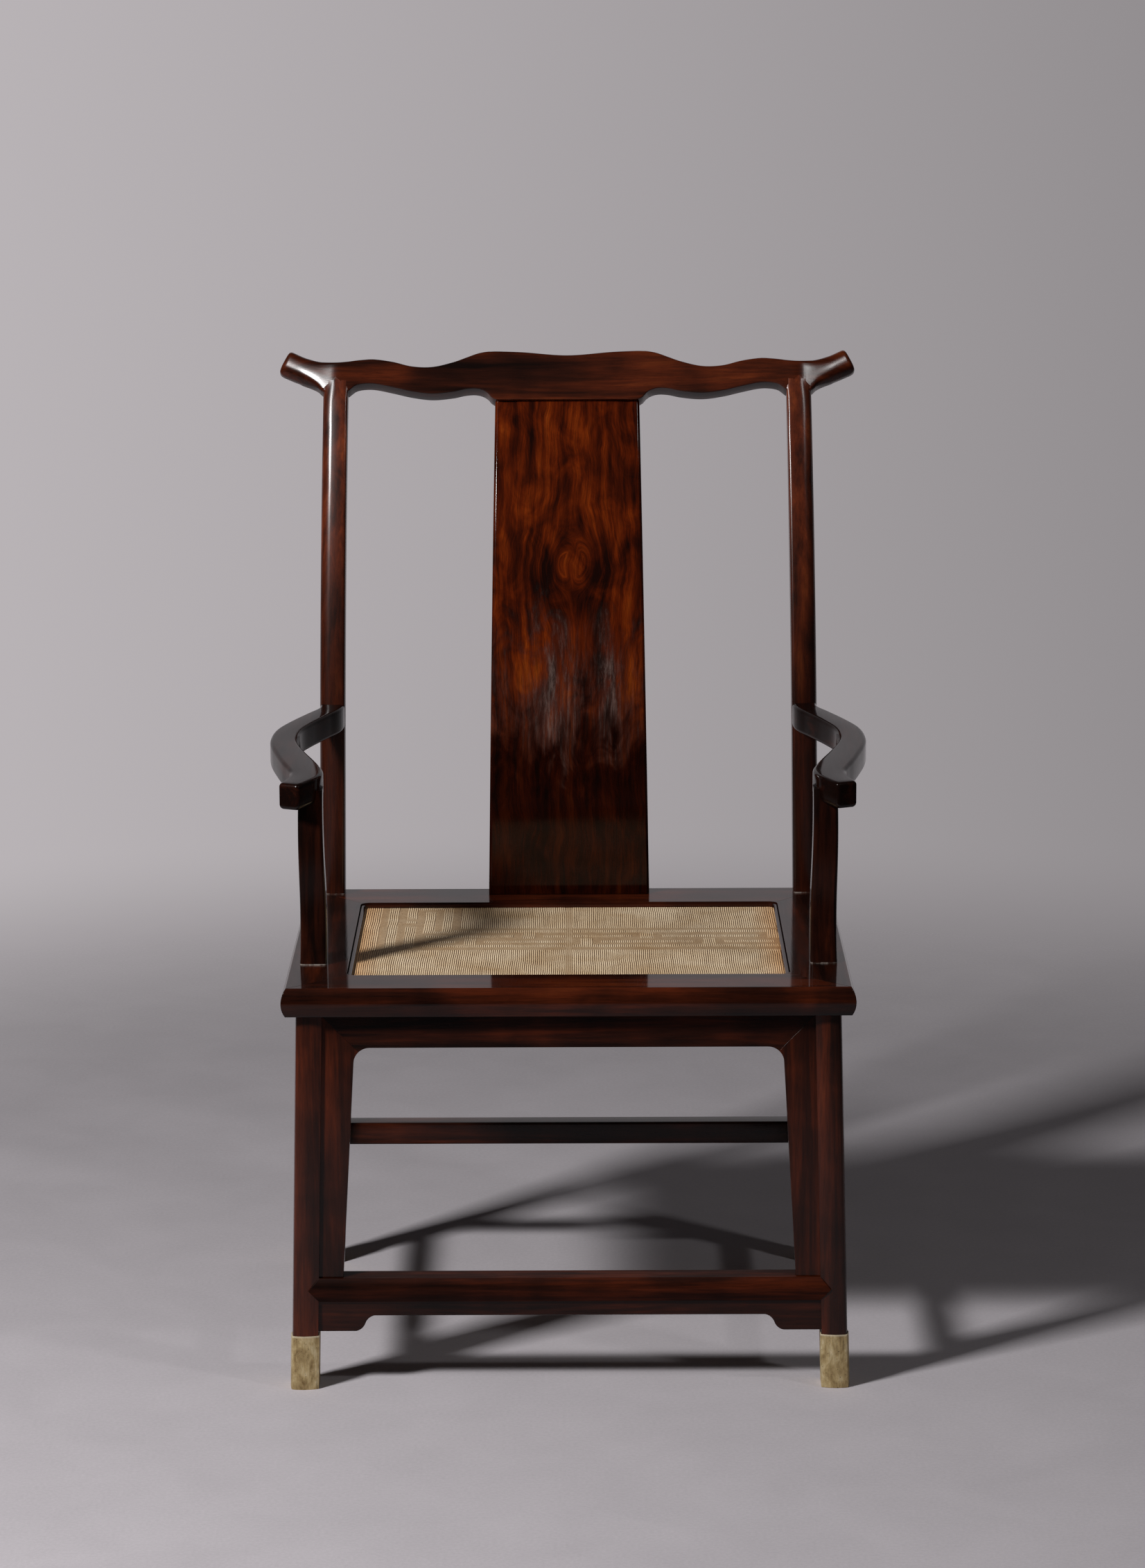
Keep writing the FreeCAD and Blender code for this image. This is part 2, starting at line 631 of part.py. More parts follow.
def rail_front():
    """Y of the foot rail's front, just proud of the leaning legs"""
    lean = LEG_LEAN * (SEAT_BOTTOM - RAIL_BOTTOM) / SEAT_BOTTOM
    return depth(FRONT_LEG_Y - LEG_SIZE / 2 - lean - RAIL_PROUD)


def foot_rail():
    """round-fronted rail, pointed laps over the legs, square tenons behind"""
    y, low, high = rail_front(), RAIL_BOTTOM, RAIL_BOTTOM + RAIL_HEIGHT
    middle = (low + high) / 2
    edge = FRONT_LEG_X - LEG_SIZE / 2 + LEG_LEAN * (SEAT_BOTTOM - high) / SEAT_BOTTOM
    tip = edge + RAIL_LAP
    face = Part.Face(Part.Wire([
        arc(V(-tip, y + RAIL_BULGE, low), V(-tip, y, middle), V(-tip, y + RAIL_BULGE, high)),
        line(V(-tip, y + RAIL_BULGE, high), V(-tip, y + RAIL_DEPTH, high)),
        line(V(-tip, y + RAIL_DEPTH, high), V(-tip, y + RAIL_DEPTH, low)),
        line(V(-tip, y + RAIL_DEPTH, low), V(-tip, y + RAIL_BULGE, low))]))
    bar = face.extrude(V(2 * tip, 0, 0))
    lap = [(-tip, middle), (-edge, high), (edge, high), (tip, middle), (edge, low), (-edge, low)]
    points = bar.common(prism([V(a, y, b) for a, b in lap], V(0, POINT_DEPTH, 0)))
    body = bar.common(box(-edge - 2, edge + 2, y + POINT_DEPTH, y + RAIL_DEPTH, low, high))
    inside = y + POINT_DEPTH + 5
    tenon = box(-edge - RAIL_TENON, edge + RAIL_TENON, inside, inside + RAIL_TENON_THICK,
                low + RAIL_BULGE, high - RAIL_BULGE)
    return points.fuse([body, tenon])


def foot_rail_apron():
    """board under the foot rail, stepping down in an ogee to each leg"""
    y = rail_front() + APRON_SETBACK
    top = RAIL_BOTTOM + TONGUE / 2
    end = FRONT_LEG_X - LEG_SIZE / 2 + LEG_LEAN * (SEAT_BOTTOM - RAIL_BOTTOM) / SEAT_BOTTOM + TONGUE
    turn = V((SKIRT_STEP_IN + SKIRT_STEP_OUT) / 2, y, (SKIRT_MID + SKIRT_END) / 2)
    edges = [line(V(-end, y, top), V(end, y, top)),
             line(V(-SKIRT_STEP_IN, y, SKIRT_MID), V(SKIRT_STEP_IN, y, SKIRT_MID))]
    for s in (1, -1):
        def at(x, z):
            return V(s * x, y, z)
        high, low = at(SKIRT_STEP_IN, SKIRT_MID), at(SKIRT_STEP_OUT, SKIRT_END)
        bend = at(turn.x, turn.z)
        swell = V(s * 1.4, 0, 1.5)
        edges.append(arc(high, (high + bend) / 2 + swell, bend))
        edges.append(arc(bend, (bend + low) / 2 - swell, low))
        edges.append(line(low, at(end, SKIRT_END)))
        edges.append(line(at(end, SKIRT_END), at(end, top)))
    return Part.Face(Part.Wire(Part.__sortEdges__(edges))).extrude(V(0, APRON_THICK, 0))


def stretcher(start, stop, size):
    """bar with soft corners let 1 mm into each leg, thin tenons beyond"""
    ahead = (stop - start).normalize()
    across = ahead.cross(UP)

    corners = [STRETCHER_ROUND] * 4
    body = prism(soft_corners(start, across, UP, size, size, corners), stop - start)
    thin, tall = RAIL_TENON_THICK / 2, size / 2 - RAIL_BULGE
    end = start - ahead * RAIL_TENON
    square = ((-thin, -tall), (thin, -tall), (thin, tall), (-thin, tall))
    face = [end + across * a + UP * b for a, b in square]
    return body.fuse(prism(face, stop - start + ahead * (2 * RAIL_TENON)))


def left_stretcher():
    z = SIDE_STRETCHER_Z + STRETCHER_SIZE / 2
    front, rear = leg_centre(FRONT_LEG_X, FRONT_LEG_Y, 1, z), leg_centre(REAR_POST_X, REAR_POST_Y, -1, z)
    x, inset = (front.x + rear.x) / 2, LEG_SIZE / 2 - 1
    return stretcher(V(x, front.y + inset, z), V(x, rear.y - inset, z), STRETCHER_SIZE)


def rear_stretcher():
    z = REAR_STRETCHER_Z + REAR_STRETCHER_SIZE / 2
    spot = leg_centre(REAR_POST_X, REAR_POST_Y, -1, z)
    reach = -spot.x - LEG_SIZE / 2 + 1
    return stretcher(V(-reach, spot.y, z), V(reach, spot.y, z), REAR_STRETCHER_SIZE)


def front_leg_blank():
    """left front leg with two tenons up into the corner of the seat frame"""
    leg = leg_stick(FRONT_LEG_X, FRONT_LEG_Y, 1, SABOT_SOLE, SEAT_BOTTOM, LEG_SIZE)
    x, y = -FRONT_LEG_X, depth(FRONT_LEG_Y)
    apart, top = LEG_TENON_APART, SEAT_BOTTOM + LEG_TENON_RISE
    for step in (V(apart, -apart, 0), V(-apart, apart, 0)):
        leg = leg.fuse(centred_block(V(x, y, 0) + step, LEG_TENON, LEG_TENON, SEAT_BOTTOM, top))
    return leg


def arm_pegs(head):
    """peg across the arm's tenon in the rear post, and peg through the arm into the arm post"""
    z = arm_level(REAR_POST_Y)
    spot = post_centre(z)
    reach = POST_FOOT
    rear = peg(V(spot.x - reach, spot.y - 7, z), V(1, 0, 0), PEG_LENGTH + reach / 2)
    front = peg(head - V(reach, 0, 2), V(1, 0, 0), PEG_LENGTH + reach / 2)
    return rear, front


def chair():
    """every piece by name, cut to fit its neighbours"""
    parts = {}
    crest = crest_blank()
    post = rear_post_blank()
    arm = arm_blank()
    arm_post, head = arm_post_blank()
    leg = front_leg_blank()
    rails = seat_rails()

    point, tenon = post_point(crest), post_tenon()
    post = post.cut(crest).fuse([point, tenon])

    stub = centred_block(head, STUB, STUB, head.z - ARM_HEIGHT / 2 - 2, head.z + 6)
    foot = centred_block(V(-ARM_POST_X, depth(ARM_POST_Y), 0), ARM_POST_TENON, ARM_POST_TENON,
                         SEAT_TOP - ARM_POST_TENON, SEAT_TOP)
    arm_post = arm_post.cut(arm).fuse([stub, foot])
    level = arm_level(REAR_POST_Y)
    spot = post_centre(level)
    face = spot.y - POST_FOOT / 2
    behind = centred_block(spot + V(0, POST_FOOT, 0), 2 * POST_FOOT, 2 * POST_FOOT,
                           level - POST_FOOT, level + POST_FOOT)
    ledger = box(spot.x - STUB / 2, spot.x + STUB / 2, face - 4, face + STUB_LENGTH, level - 9, level + 9)
    arm = arm.cut([post, behind, stub]).fuse(ledger)

    rear_peg, front_peg = arm_pegs(head)
    back_peg = crest_peg().common(crest)
    rear_peg = rear_peg.common(post.fuse(ledger))
    front_peg = front_peg.common(arm.fuse(stub))
    pegs = [back_peg, rear_peg, front_peg]

    apron, spandrel, _ = front_arch()
    rail, skirt = foot_rail(), foot_rail_apron()
    side_apron, side_rear, side_front = left_arch()
    side_bar, rear_bar, rear_board = left_stretcher(), rear_stretcher(), rear_apron()
    splat, brace = back_splat(crest), seat_brace()

    leg = leg.cut([apron, spandrel, rail, skirt, side_apron, side_front, side_bar])
    post = post.cut([ledger, side_apron, side_rear, side_bar, rear_bar, rear_board, back_peg, rear_peg])
    arm = arm.cut([rear_peg, front_peg])
    arm_post = arm_post.cut([front_peg])
    crest = crest.cut([point, tenon, mirrored(point), mirrored(tenon), back_peg, mirrored(back_peg), splat])

    through = [apron, rear_board, splat]
    for shape in (leg, post, arm_post, brace, spandrel, side_apron, side_front, side_rear):
        through += [shape, mirrored(shape)]
    for side, shape in rails.items():
        parts["seat_rail_" + side] = shape.cut(through).removeSplitter()
    for side, strip in mat_strips().items():
        parts["mat_strip_" + side] = strip
    rail = rail.cut([skirt, spandrel, mirrored(spandrel)])
    side_bar = side_bar.cut([side_front, side_rear, rail])

    parts["crest_rail"] = crest
    parts["back_splat"] = splat
    parts["front_apron"] = apron
    parts["rear_apron"] = rear_board
    parts["foot_rail"] = rail
    parts["foot_rail_apron"] = skirt
    parts["rear_stretcher"] = rear_bar
    parts["seat_mat"] = opening(MAT_PLAY, OPENING_RADIUS, WEB_TOP, MAT_TOP)
    parts["seat_webbing"] = seat_webbing()
    pairs = {"rear_post": post, "front_leg": leg, "arm": arm, "arm_post": arm_post,
             "front_spandrel": spandrel, "side_apron": side_apron,
             "side_front_spandrel": side_front, "side_rear_spandrel": side_rear,
             "side_stretcher": side_bar, "seat_brace": brace,
             "front_sabot": sabot(FRONT_LEG_X, FRONT_LEG_Y, 1),
             "rear_sabot": sabot(REAR_POST_X, REAR_POST_Y, -1)}
    for name, shape in pairs.items():
        parts[name + "_left"] = shape
        parts[name + "_right"] = mirrored(shape)
    parts["joint_pegs"] = Part.makeCompound(pegs + [mirrored(p) for p in pegs])
    return parts


os.makedirs("parts", exist_ok=True)
for name, shape in chair().items():
    shape.exportStep("parts/" + name + ".step")
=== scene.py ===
import math

import bpy
from mathutils import Matrix, Vector


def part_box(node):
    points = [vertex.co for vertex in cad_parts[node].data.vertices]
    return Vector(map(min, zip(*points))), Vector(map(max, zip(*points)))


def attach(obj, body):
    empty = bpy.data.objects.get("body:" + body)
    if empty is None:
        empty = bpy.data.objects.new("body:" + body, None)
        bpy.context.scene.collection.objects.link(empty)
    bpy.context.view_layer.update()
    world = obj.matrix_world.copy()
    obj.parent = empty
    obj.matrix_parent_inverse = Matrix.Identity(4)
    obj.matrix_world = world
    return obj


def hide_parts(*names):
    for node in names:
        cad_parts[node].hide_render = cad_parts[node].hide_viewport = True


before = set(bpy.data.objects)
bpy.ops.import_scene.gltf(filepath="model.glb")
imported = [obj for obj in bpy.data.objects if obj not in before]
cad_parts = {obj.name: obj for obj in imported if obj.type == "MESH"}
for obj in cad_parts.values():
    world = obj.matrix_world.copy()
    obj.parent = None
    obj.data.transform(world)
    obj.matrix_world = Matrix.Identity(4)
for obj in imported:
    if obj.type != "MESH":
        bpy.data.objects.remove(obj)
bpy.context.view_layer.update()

bpy.ops.object.select_all(action="DESELECT")


# The four uprights: two rear posts that rake back and carry the crest rail, and two front legs.
# Each is one stick of old rosewood, planed round on its outer side and lacquered.
# The posts pass through the seat frame, and the legs are tenoned into it from below.

def new_finish(name):
    material = bpy.data.materials.new(name)
    material.use_nodes = True
    return material, material.node_tree, material.node_tree.nodes["Principled BSDF"]


def where_on(tree):
    return tree.nodes.new("ShaderNodeTexCoord").outputs["Object"]


def ways_of(tree, vector):
    split = tree.nodes.new("ShaderNodeSeparateXYZ")
    tree.links.new(vector, split.inputs["Vector"])
    return split.outputs


def lay_grain(tree, place, along, stretch, shift):
    lay = tree.nodes.new("ShaderNodeMapping")
    lay.inputs["Location"].default_value = (shift, shift * 0.7, shift * 1.3)
    lay.inputs["Scale"].default_value = tuple(stretch if axis == along else 1.0 for axis in "XYZ")
    tree.links.new(place, lay.inputs["Vector"])
    return lay.outputs["Vector"]


def noise(tree, vector, scale, detail=3.0, rough=0.6, twist=0.0):
    texture = tree.nodes.new("ShaderNodeTexNoise")
    texture.inputs["Scale"].default_value = scale
    texture.inputs["Detail"].default_value = detail
    texture.inputs["Roughness"].default_value = rough
    texture.inputs["Distortion"].default_value = twist
    tree.links.new(vector, texture.inputs["Vector"])
    return texture.outputs["Fac"]


def grey(value):
    return (value, value, value)


def ramp(tree, value, stops):
    shades = tree.nodes.new("ShaderNodeValToRGB")
    band = shades.color_ramp
    while len(band.elements) < len(stops):
        band.elements.new(0.5)
    for element, (position, colour) in zip(band.elements, stops):
        element.position = position
        element.color = (*colour, 1.0)
    tree.links.new(value, shades.inputs["Fac"])
    return shades.outputs["Color"]


def stain(tree, kind, amount, under, over):
    mix = tree.nodes.new("ShaderNodeMix")
    mix.data_type = "RGBA"
    mix.blend_type = kind
    for socket, value in ((mix.inputs[0], amount), (mix.inputs[6], under), (mix.inputs[7], over)):
        if isinstance(value, bpy.types.NodeSocket):
            tree.links.new(value, socket)
        elif isinstance(value, tuple):
            socket.default_value = (*value, 1.0)
        else:
            socket.default_value = value
    return mix.outputs[2]


def sums(tree, kind, *values):
    node = tree.nodes.new("ShaderNodeMath")
    node.operation = kind
    for socket, value in zip(node.inputs, values):
        if isinstance(value, bpy.types.NodeSocket):
            tree.links.new(value, socket)
        else:
            socket.default_value = value
    return node.outputs["Value"]


def fade_between(tree, value, start, end, low, high, curve="SMOOTHSTEP"):
    fade = tree.nodes.new("ShaderNodeMapRange")
    fade.interpolation_type = curve
    for socket, number in (("From Min", start), ("From Max", end), ("To Min", low), ("To Max", high)):
        fade.inputs[socket].default_value = number
    tree.links.new(value, fade.inputs["Value"])
    return fade.outputs["Result"]


def relief(tree, height, strength, depth):
    bump = tree.nodes.new("ShaderNodeBump")
    bump.inputs["Strength"].default_value = strength
    bump.inputs["Distance"].default_value = depth
    tree.links.new(height, bump.inputs["Height"])
    return bump.outputs["Normal"]


ROSEWOOD_DARK = (0.0050, 0.0016, 0.0010)
ROSEWOOD_DEEP = (0.0215, 0.0046, 0.0020)
ROSEWOOD_RED = (0.0660, 0.0115, 0.0034)
ROSEWOOD_LIGHT = (0.1500, 0.0310, 0.0070)
GRAIN_STRETCH = 0.06
BARE_WOOD_GLOSS = 0.015
LACQUER_WEIGHT = 0.85
LACQUER_SHINE = 1.32


def lacquer(wood, gloss, shine):
    wood.inputs["Specular IOR Level"].default_value = BARE_WOOD_GLOSS
    wood.inputs["Coat Weight"].default_value = LACQUER_WEIGHT
    wood.inputs["Coat Roughness"].default_value = gloss
    wood.inputs["Coat IOR"].default_value = shine


def rosewood(name, along, shift, red, gloss, shine=LACQUER_SHINE):
    material, tree, wood = new_finish(name)
    place = where_on(tree)
    grain = lay_grain(tree, place, along, GRAIN_STRETCH, shift)
    streaks = noise(tree, grain, 46.0, rough=0.55, twist=0.6)
    lines = noise(tree, grain, 330.0, twist=0.3)
    pores = noise(tree, grain, 1500.0, detail=2.0)
    brushing = noise(tree, grain, 620.0, detail=2.0)
    clouds = noise(tree, place, 8.0, rough=0.55, twist=0.5)
    figure = sums(tree, "MULTIPLY_ADD", streaks, 0.44, red + 0.14)
    figure = sums(tree, "MULTIPLY_ADD", clouds, 0.26, figure)
    colour = ramp(tree, figure, [
        (0.38, ROSEWOOD_DARK), (0.47, ROSEWOOD_DEEP), (0.57, ROSEWOOD_RED), (0.70, ROSEWOOD_LIGHT)])
    veins = ramp(tree, lines, [(0.34, grey(0.60)), (0.56, grey(1.0)), (0.75, grey(1.25))])
    colour = stain(tree, "MULTIPLY", 0.8, colour, veins)
    specks = ramp(tree, pores, [(0.30, grey(0.45)), (0.42, grey(1.0))])
    colour = stain(tree, "MULTIPLY", 0.6, colour, specks)
    wear_and_glint = ramp(tree, lines, [(0.3, grey(0.55)), (0.7, grey(0.38))])
    tree.links.new(colour, wood.inputs["Base Color"])
    tree.links.new(wear_and_glint, wood.inputs["Roughness"])
    tree.links.new(relief(tree, pores, strength=0.2, depth=0.0001), wood.inputs["Normal"])
    tree.links.new(relief(tree, brushing, strength=0.16, depth=0.0001), wood.inputs["Coat Normal"])
    lacquer(wood, gloss, shine)
    return material


def stain_over(material, kind, amount, over):
    tree = material.node_tree
    base = tree.nodes["Principled BSDF"].inputs["Base Color"]
    tree.links.new(stain(tree, kind, amount, base.links[0].from_socket, over), base)


SEAT_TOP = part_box("seat_rail_front")[1].z
GLUE_LEVEL = SEAT_TOP + 0.0008
OLD_GLUE = (0.30, 0.255, 0.225)


def show_glue(material):
    tree = material.node_tree
    place = where_on(tree)
    off_line = sums(tree, "ABSOLUTE", sums(tree, "ADD", ways_of(tree, place)["Z"], -GLUE_LEVEL))
    line = fade_between(tree, off_line, 0.0004, 0.0010, 1.0, 0.0)
    broken = fade_between(tree, noise(tree, place, 110.0), 0.40, 0.60, 0.05, 0.8)
    stain_over(material, "MIX", sums(tree, "MULTIPLY", line, broken), OLD_GLUE)


def finish_with(material, *names):
    for name in names:
        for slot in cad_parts[name].material_slots:
            slot.material = material


SAME_POINT = 0.00001


def ease(names, sharp, arris=0.0):
    for name in names:
        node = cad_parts[name]
        weld = node.modifiers.new("join", "WELD")
        weld.merge_threshold = SAME_POINT
        if arris:
            plane = node.modifiers.new("plane", "DECIMATE")
            plane.decimate_type = "DISSOLVE"
            plane.angle_limit = math.radians(0.5)
            edge = node.modifiers.new("arris", "BEVEL")
            edge.width = arris
            edge.segments = 2
            edge.limit_method = "ANGLE"
            edge.angle_limit = math.radians(sharp)
            edge.miter_outer = "MITER_ARC"
        else:
            split = node.modifiers.new("corners", "EDGE_SPLIT")
            split.split_angle = math.radians(sharp)
            split.use_edge_sharp = False
        shade = node.modifiers.new("shade", "WEIGHTED_NORMAL")
        shade.weight = 50


POSTS = ("rear_post_left", "rear_post_right")
LEGS = ("front_leg_left", "front_leg_right")
leg_wood = rosewood("leg_rosewood", "Z", shift=0.37, red=0.03, gloss=0.19, shine=1.38)
post_wood = rosewood("post_rosewood", "Z", shift=0.37, red=0.05, gloss=0.27, shine=1.50)
tree = post_wood.node_tree
# The posts are painted darker just above the seat and lighter towards the top, and the lighter top is
# painted sheen.
share_of_height = sums(tree, "MULTIPLY", ways_of(tree, where_on(tree))["Z"], 0.8)
tone_and_sheen_by_height = ramp(tree, share_of_height, [
    (0.38, grey(0.75)), (0.42, grey(0.42)), (0.64, grey(0.50)), (0.78, grey(1.30))])
stain_over(post_wood, "MULTIPLY", 1.0, tone_and_sheen_by_height)
show_glue(post_wood)
finish_with(leg_wood, *LEGS)
finish_with(post_wood, *POSTS)
ease(POSTS + LEGS, sharp=52.0)


# Pale brass shoes on the four feet, folded from sheet round the foot of each leg.
# They are brushed up and down, pitted and tarnished, and brighter where the top edge has been rubbed.

SABOTS = ("front_sabot_left", "front_sabot_right", "rear_sabot_left", "rear_sabot_right")
RIM_FOOT = 0.0650
RIM_TOP = 0.0675
BRASS_BROWN = (0.21, 0.13, 0.048)
BRASS_DULL = (0.48, 0.355, 0.17)
BRASS_PALE = (0.74, 0.62, 0.39)
BRASS_RUBBED = (0.66, 0.58, 0.43)
brass, tree, metal = new_finish("brushed_brass")
place = where_on(tree)
strokes = lay_grain(tree, place, "Z", stretch=0.05, shift=0.2)
runs = lay_grain(tree, place, "Z", stretch=0.50, shift=0.6)
brush = noise(tree, strokes, 900.0)
cloud = noise(tree, runs, 85.0, detail=5.0, rough=0.65, twist=0.3)
pits = noise(tree, place, 520.0, detail=2.0, rough=0.5)
scores = noise(tree, strokes, 420.0, detail=4.0, rough=0.7, twist=0.2)
tarnish = ramp(tree, cloud, [(0.3, BRASS_BROWN), (0.5, BRASS_DULL), (0.72, BRASS_PALE)])
for amount, marks, stops in (
        (0.6, brush, [(0.3, grey(0.60)), (0.7, grey(1.1))]),
        (0.85, pits, [(0.27, grey(0.12)), (0.34, grey(1.0))]),
        (0.6, scores, [(0.30, grey(0.30)), (0.38, grey(1.0))])):
    tarnish = stain(tree, "MULTIPLY", amount, tarnish, ramp(tree, marks, stops))
rim = fade_between(tree, ways_of(tree, place)["Z"], RIM_FOOT, RIM_TOP, 0.0, 0.6)
tarnish = stain(tree, "MIX", rim, tarnish, BRASS_RUBBED)
tree.links.new(tarnish, metal.inputs["Base Color"])
metal.inputs["Metallic"].default_value = 0.45
tree.links.new(ramp(tree, brush, [(0.3, grey(0.58)), (0.7, grey(0.42))]), metal.inputs["Roughness"])
tree.links.new(relief(tree, brush, strength=0.3, depth=0.0002), metal.inputs["Normal"])
finish_with(brass, *SABOTS)
ease(SABOTS, sharp=40.0, arris=0.0008)


# The seat frame: four rails with a rounded nose, mitred and tenoned together at the corners.
# The flat tops are lacquered like glass, and the inner edge is rebated for the mat and its press strips.

RAILS = ("seat_rail_front", "seat_rail_rear")
SIDE_RAILS = ("seat_rail_left", "seat_rail_right")
rail_wood = rosewood("rail_rosewood", "X", shift=1.91, red=0.0, gloss=0.06)
side_rail_wood = rosewood("side_rail_rosewood", "Y", shift=2.63, red=-0.05, gloss=0.06)
finish_with(rail_wood, *RAILS)
finish_with(side_rail_wood, *SIDE_RAILS)
ease(RAILS + SIDE_RAILS, sharp=30.0, arris=0.0006)


# Thin aprons and spandrels under the seat frame, sawn to a curve and let into the legs and rails.
# They are plain boards of the same wood with the grain along their length, eased at the edges.

APRONS = ("front_apron", "rear_apron")
SIDE_APRONS = ("side_apron_left", "side_apron_right")
SPANDRELS = tuple(
    row + "_spandrel_" + hand for row in ("front", "side_front", "side_rear") for hand in ("left", "right"))
apron_wood = rosewood("apron_rosewood", "X", shift=4.07, red=-0.03, gloss=0.12)
side_apron_wood = rosewood("side_apron_rosewood", "Y", shift=5.3, red=-0.02, gloss=0.10)
spandrel_wood = rosewood("spandrel_rosewood", "Z", shift=6.1, red=-0.02, gloss=0.10)
finish_with(apron_wood, *APRONS)
finish_with(side_apron_wood, *SIDE_APRONS)
finish_with(spandrel_wood, *SPANDRELS)
ease(APRONS + SIDE_APRONS + SPANDRELS, sharp=40.0, arris=0.0004)


# The foot rail and its apron at the front, and the stretchers between the legs at the sides and back.
# The foot rail is a flat board worn dull by feet, and the stretchers are sticks tenoned into the legs.

SIDE_STRETCHERS = ("side_stretcher_left", "side_stretcher_right")
WORN_LACQUER = 0.22
stretcher_wood = rosewood("stretcher_rosewood", "X", shift=7.7, red=-0.02, gloss=0.14)
side_stretcher_wood = rosewood("side_stretcher_rosewood", "Y", shift=8.9, red=-0.02, gloss=0.14)
foot_wood = rosewood("foot_rosewood", "X", shift=9.4, red=-0.01, gloss=0.40)
foot_wood.node_tree.nodes["Principled BSDF"].inputs["Coat Weight"].default_value = WORN_LACQUER
finish_with(foot_wood, "foot_rail")
finish_with(stretcher_wood, "foot_rail_apron", "rear_stretcher")
finish_with(side_stretcher_wood, *SIDE_STRETCHERS)
ease(("foot_rail", "foot_rail_apron"), sharp=40.0, arris=0.0012)
ease(("rear_stretcher",) + SIDE_STRETCHERS, sharp=50.0)


# Two bowed braces under the seat and the palm-cord net that they hold up, which carries the mat.
# The net is flat cord of palm fibre, woven over and under and pulled tight through the seat rebate.

net_low, net_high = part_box("seat_webbing")
NET_LEFT = net_low.x
NET_RIGHT = net_high.x
NET_FRONT = net_low.y
NET_REAR = net_high.y
NET_HEIGHT = 0.50062
CORD_WIDTH = 0.009
CORD_THICK = 0.0008
CORD_RISE = 0.00045
CORD_CROWN = 0.0002
CORD_SECTION = ((-1.0, -0.3), (-0.5, 0.1), (0.0, 0.2), (0.5, 0.1), (1.0, -0.3))
CROSSING_HALF = 0.0055
CROSSING_REACH = 0.010
COLUMN_START = -0.2650
COLUMN_PITCH = 0.04417
COLUMNS = [COLUMN_START + COLUMN_PITCH * step for step in range(1, 12)]
ROW_START = -0.2618
ROW_PITCH = 0.047875
ROWS = [ROW_START + ROW_PITCH * step for step in range(1, 8)]
PALM_DARK = (0.075, 0.040, 0.018)
PALM_TAN = (0.22, 0.13, 0.060)
PALM_PALE = (0.36, 0.24, 0.12)


def new_piece(name, verts, faces):
    mesh = bpy.data.meshes.new(name)
    mesh.from_pydata(verts, [], faces)
    piece = bpy.data.objects.new(name, mesh)
    bpy.context.collection.objects.link(piece)
    return piece


def flat_cord(name, start, end, offset, crossings, lengthways, first):
    stops = [start]
    levels = [0.0]
    side = first
    for cross in crossings:
        stops += [cross - CROSSING_REACH, cross - CROSSING_HALF, cross]
        stops += [cross + CROSSING_HALF, cross + CROSSING_REACH]
        levels += [0.3 * side, side, side, side, 0.3 * side]
        side = -side
    stops.append(end)
    levels.append(0.0)
    verts = []
    for along, level in zip(stops, levels):
        z = NET_HEIGHT + level * CORD_RISE
        for across, crown in CORD_SECTION:
            point = (offset + across * CORD_WIDTH / 2, along)
            if not lengthways:
                point = (point[1], point[0])
            verts.append((*point, z + crown * CORD_CROWN))
    wide = len(CORD_SECTION)
    faces = []
    for row in range(len(stops) - 1):
        for column in range(wide - 1):
            corner = row * wide + column
            face = (corner, corner + 1, corner + wide + 1, corner + wide)
            faces.append(face if lengthways else face[::-1])
    return new_piece(name, verts, faces)


cords = []
for number, x in enumerate(COLUMNS):
    cords.append(flat_cord("column_cord", NET_FRONT, NET_REAR, x, ROWS, True, 1 if number % 2 else -1))
for number, y in enumerate(ROWS):
    cords.append(flat_cord("row_cord", NET_LEFT, NET_RIGHT, y, COLUMNS, False, -1 if number % 2 else 1))
bpy.ops.object.select_all(action="DESELECT")
for cord in cords:
    cord.select_set(True)
bpy.context.view_layer.objects.active = cords[0]
bpy.ops.object.join()
net = bpy.context.object
net.name = "palm_webbing"
wall = net.modifiers.new("thickness", "SOLIDIFY")
wall.thickness = CORD_THICK
wall.offset = 0.0
bpy.ops.object.modifier_apply(modifier=wall.name)
bpy.ops.object.shade_smooth_by_angle(angle=math.radians(50))

palm, tree, fibre = new_finish("palm_cord")
place = where_on(tree)
strands = noise(tree, place, 900.0, detail=4.0, rough=0.7, twist=1.2)
patches = noise(tree, place, 45.0)
tan = ramp(tree, strands, [(0.3, PALM_DARK), (0.5, PALM_TAN), (0.75, PALM_PALE)])
tan = stain(tree, "MULTIPLY", 0.6, tan, ramp(tree, patches, [(0.3, grey(0.55)), (0.7, grey(1.1))]))
tree.links.new(tan, fibre.inputs["Base Color"])
tree.links.new(ramp(tree, strands, [(0.3, grey(0.95)), (0.7, grey(0.75))]), fibre.inputs["Roughness"])
tree.links.new(relief(tree, strands, strength=0.6, depth=0.0005), fibre.inputs["Normal"])
net.data.materials.append(palm)
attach(net, "root")
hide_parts("seat_webbing")
BRACES = ("seat_brace_left", "seat_brace_right")
finish_with(side_apron_wood, *BRACES)
ease(BRACES, sharp=40.0, arris=0.0010)


# The seat mat, woven of split cane over rush ribs that run from front to back.
# A key fret, woven flat, crosses the middle as a band and turns to the back at the left.
# It is stretched over the net and pinned down at its edges by four thin strips let into the rebate.

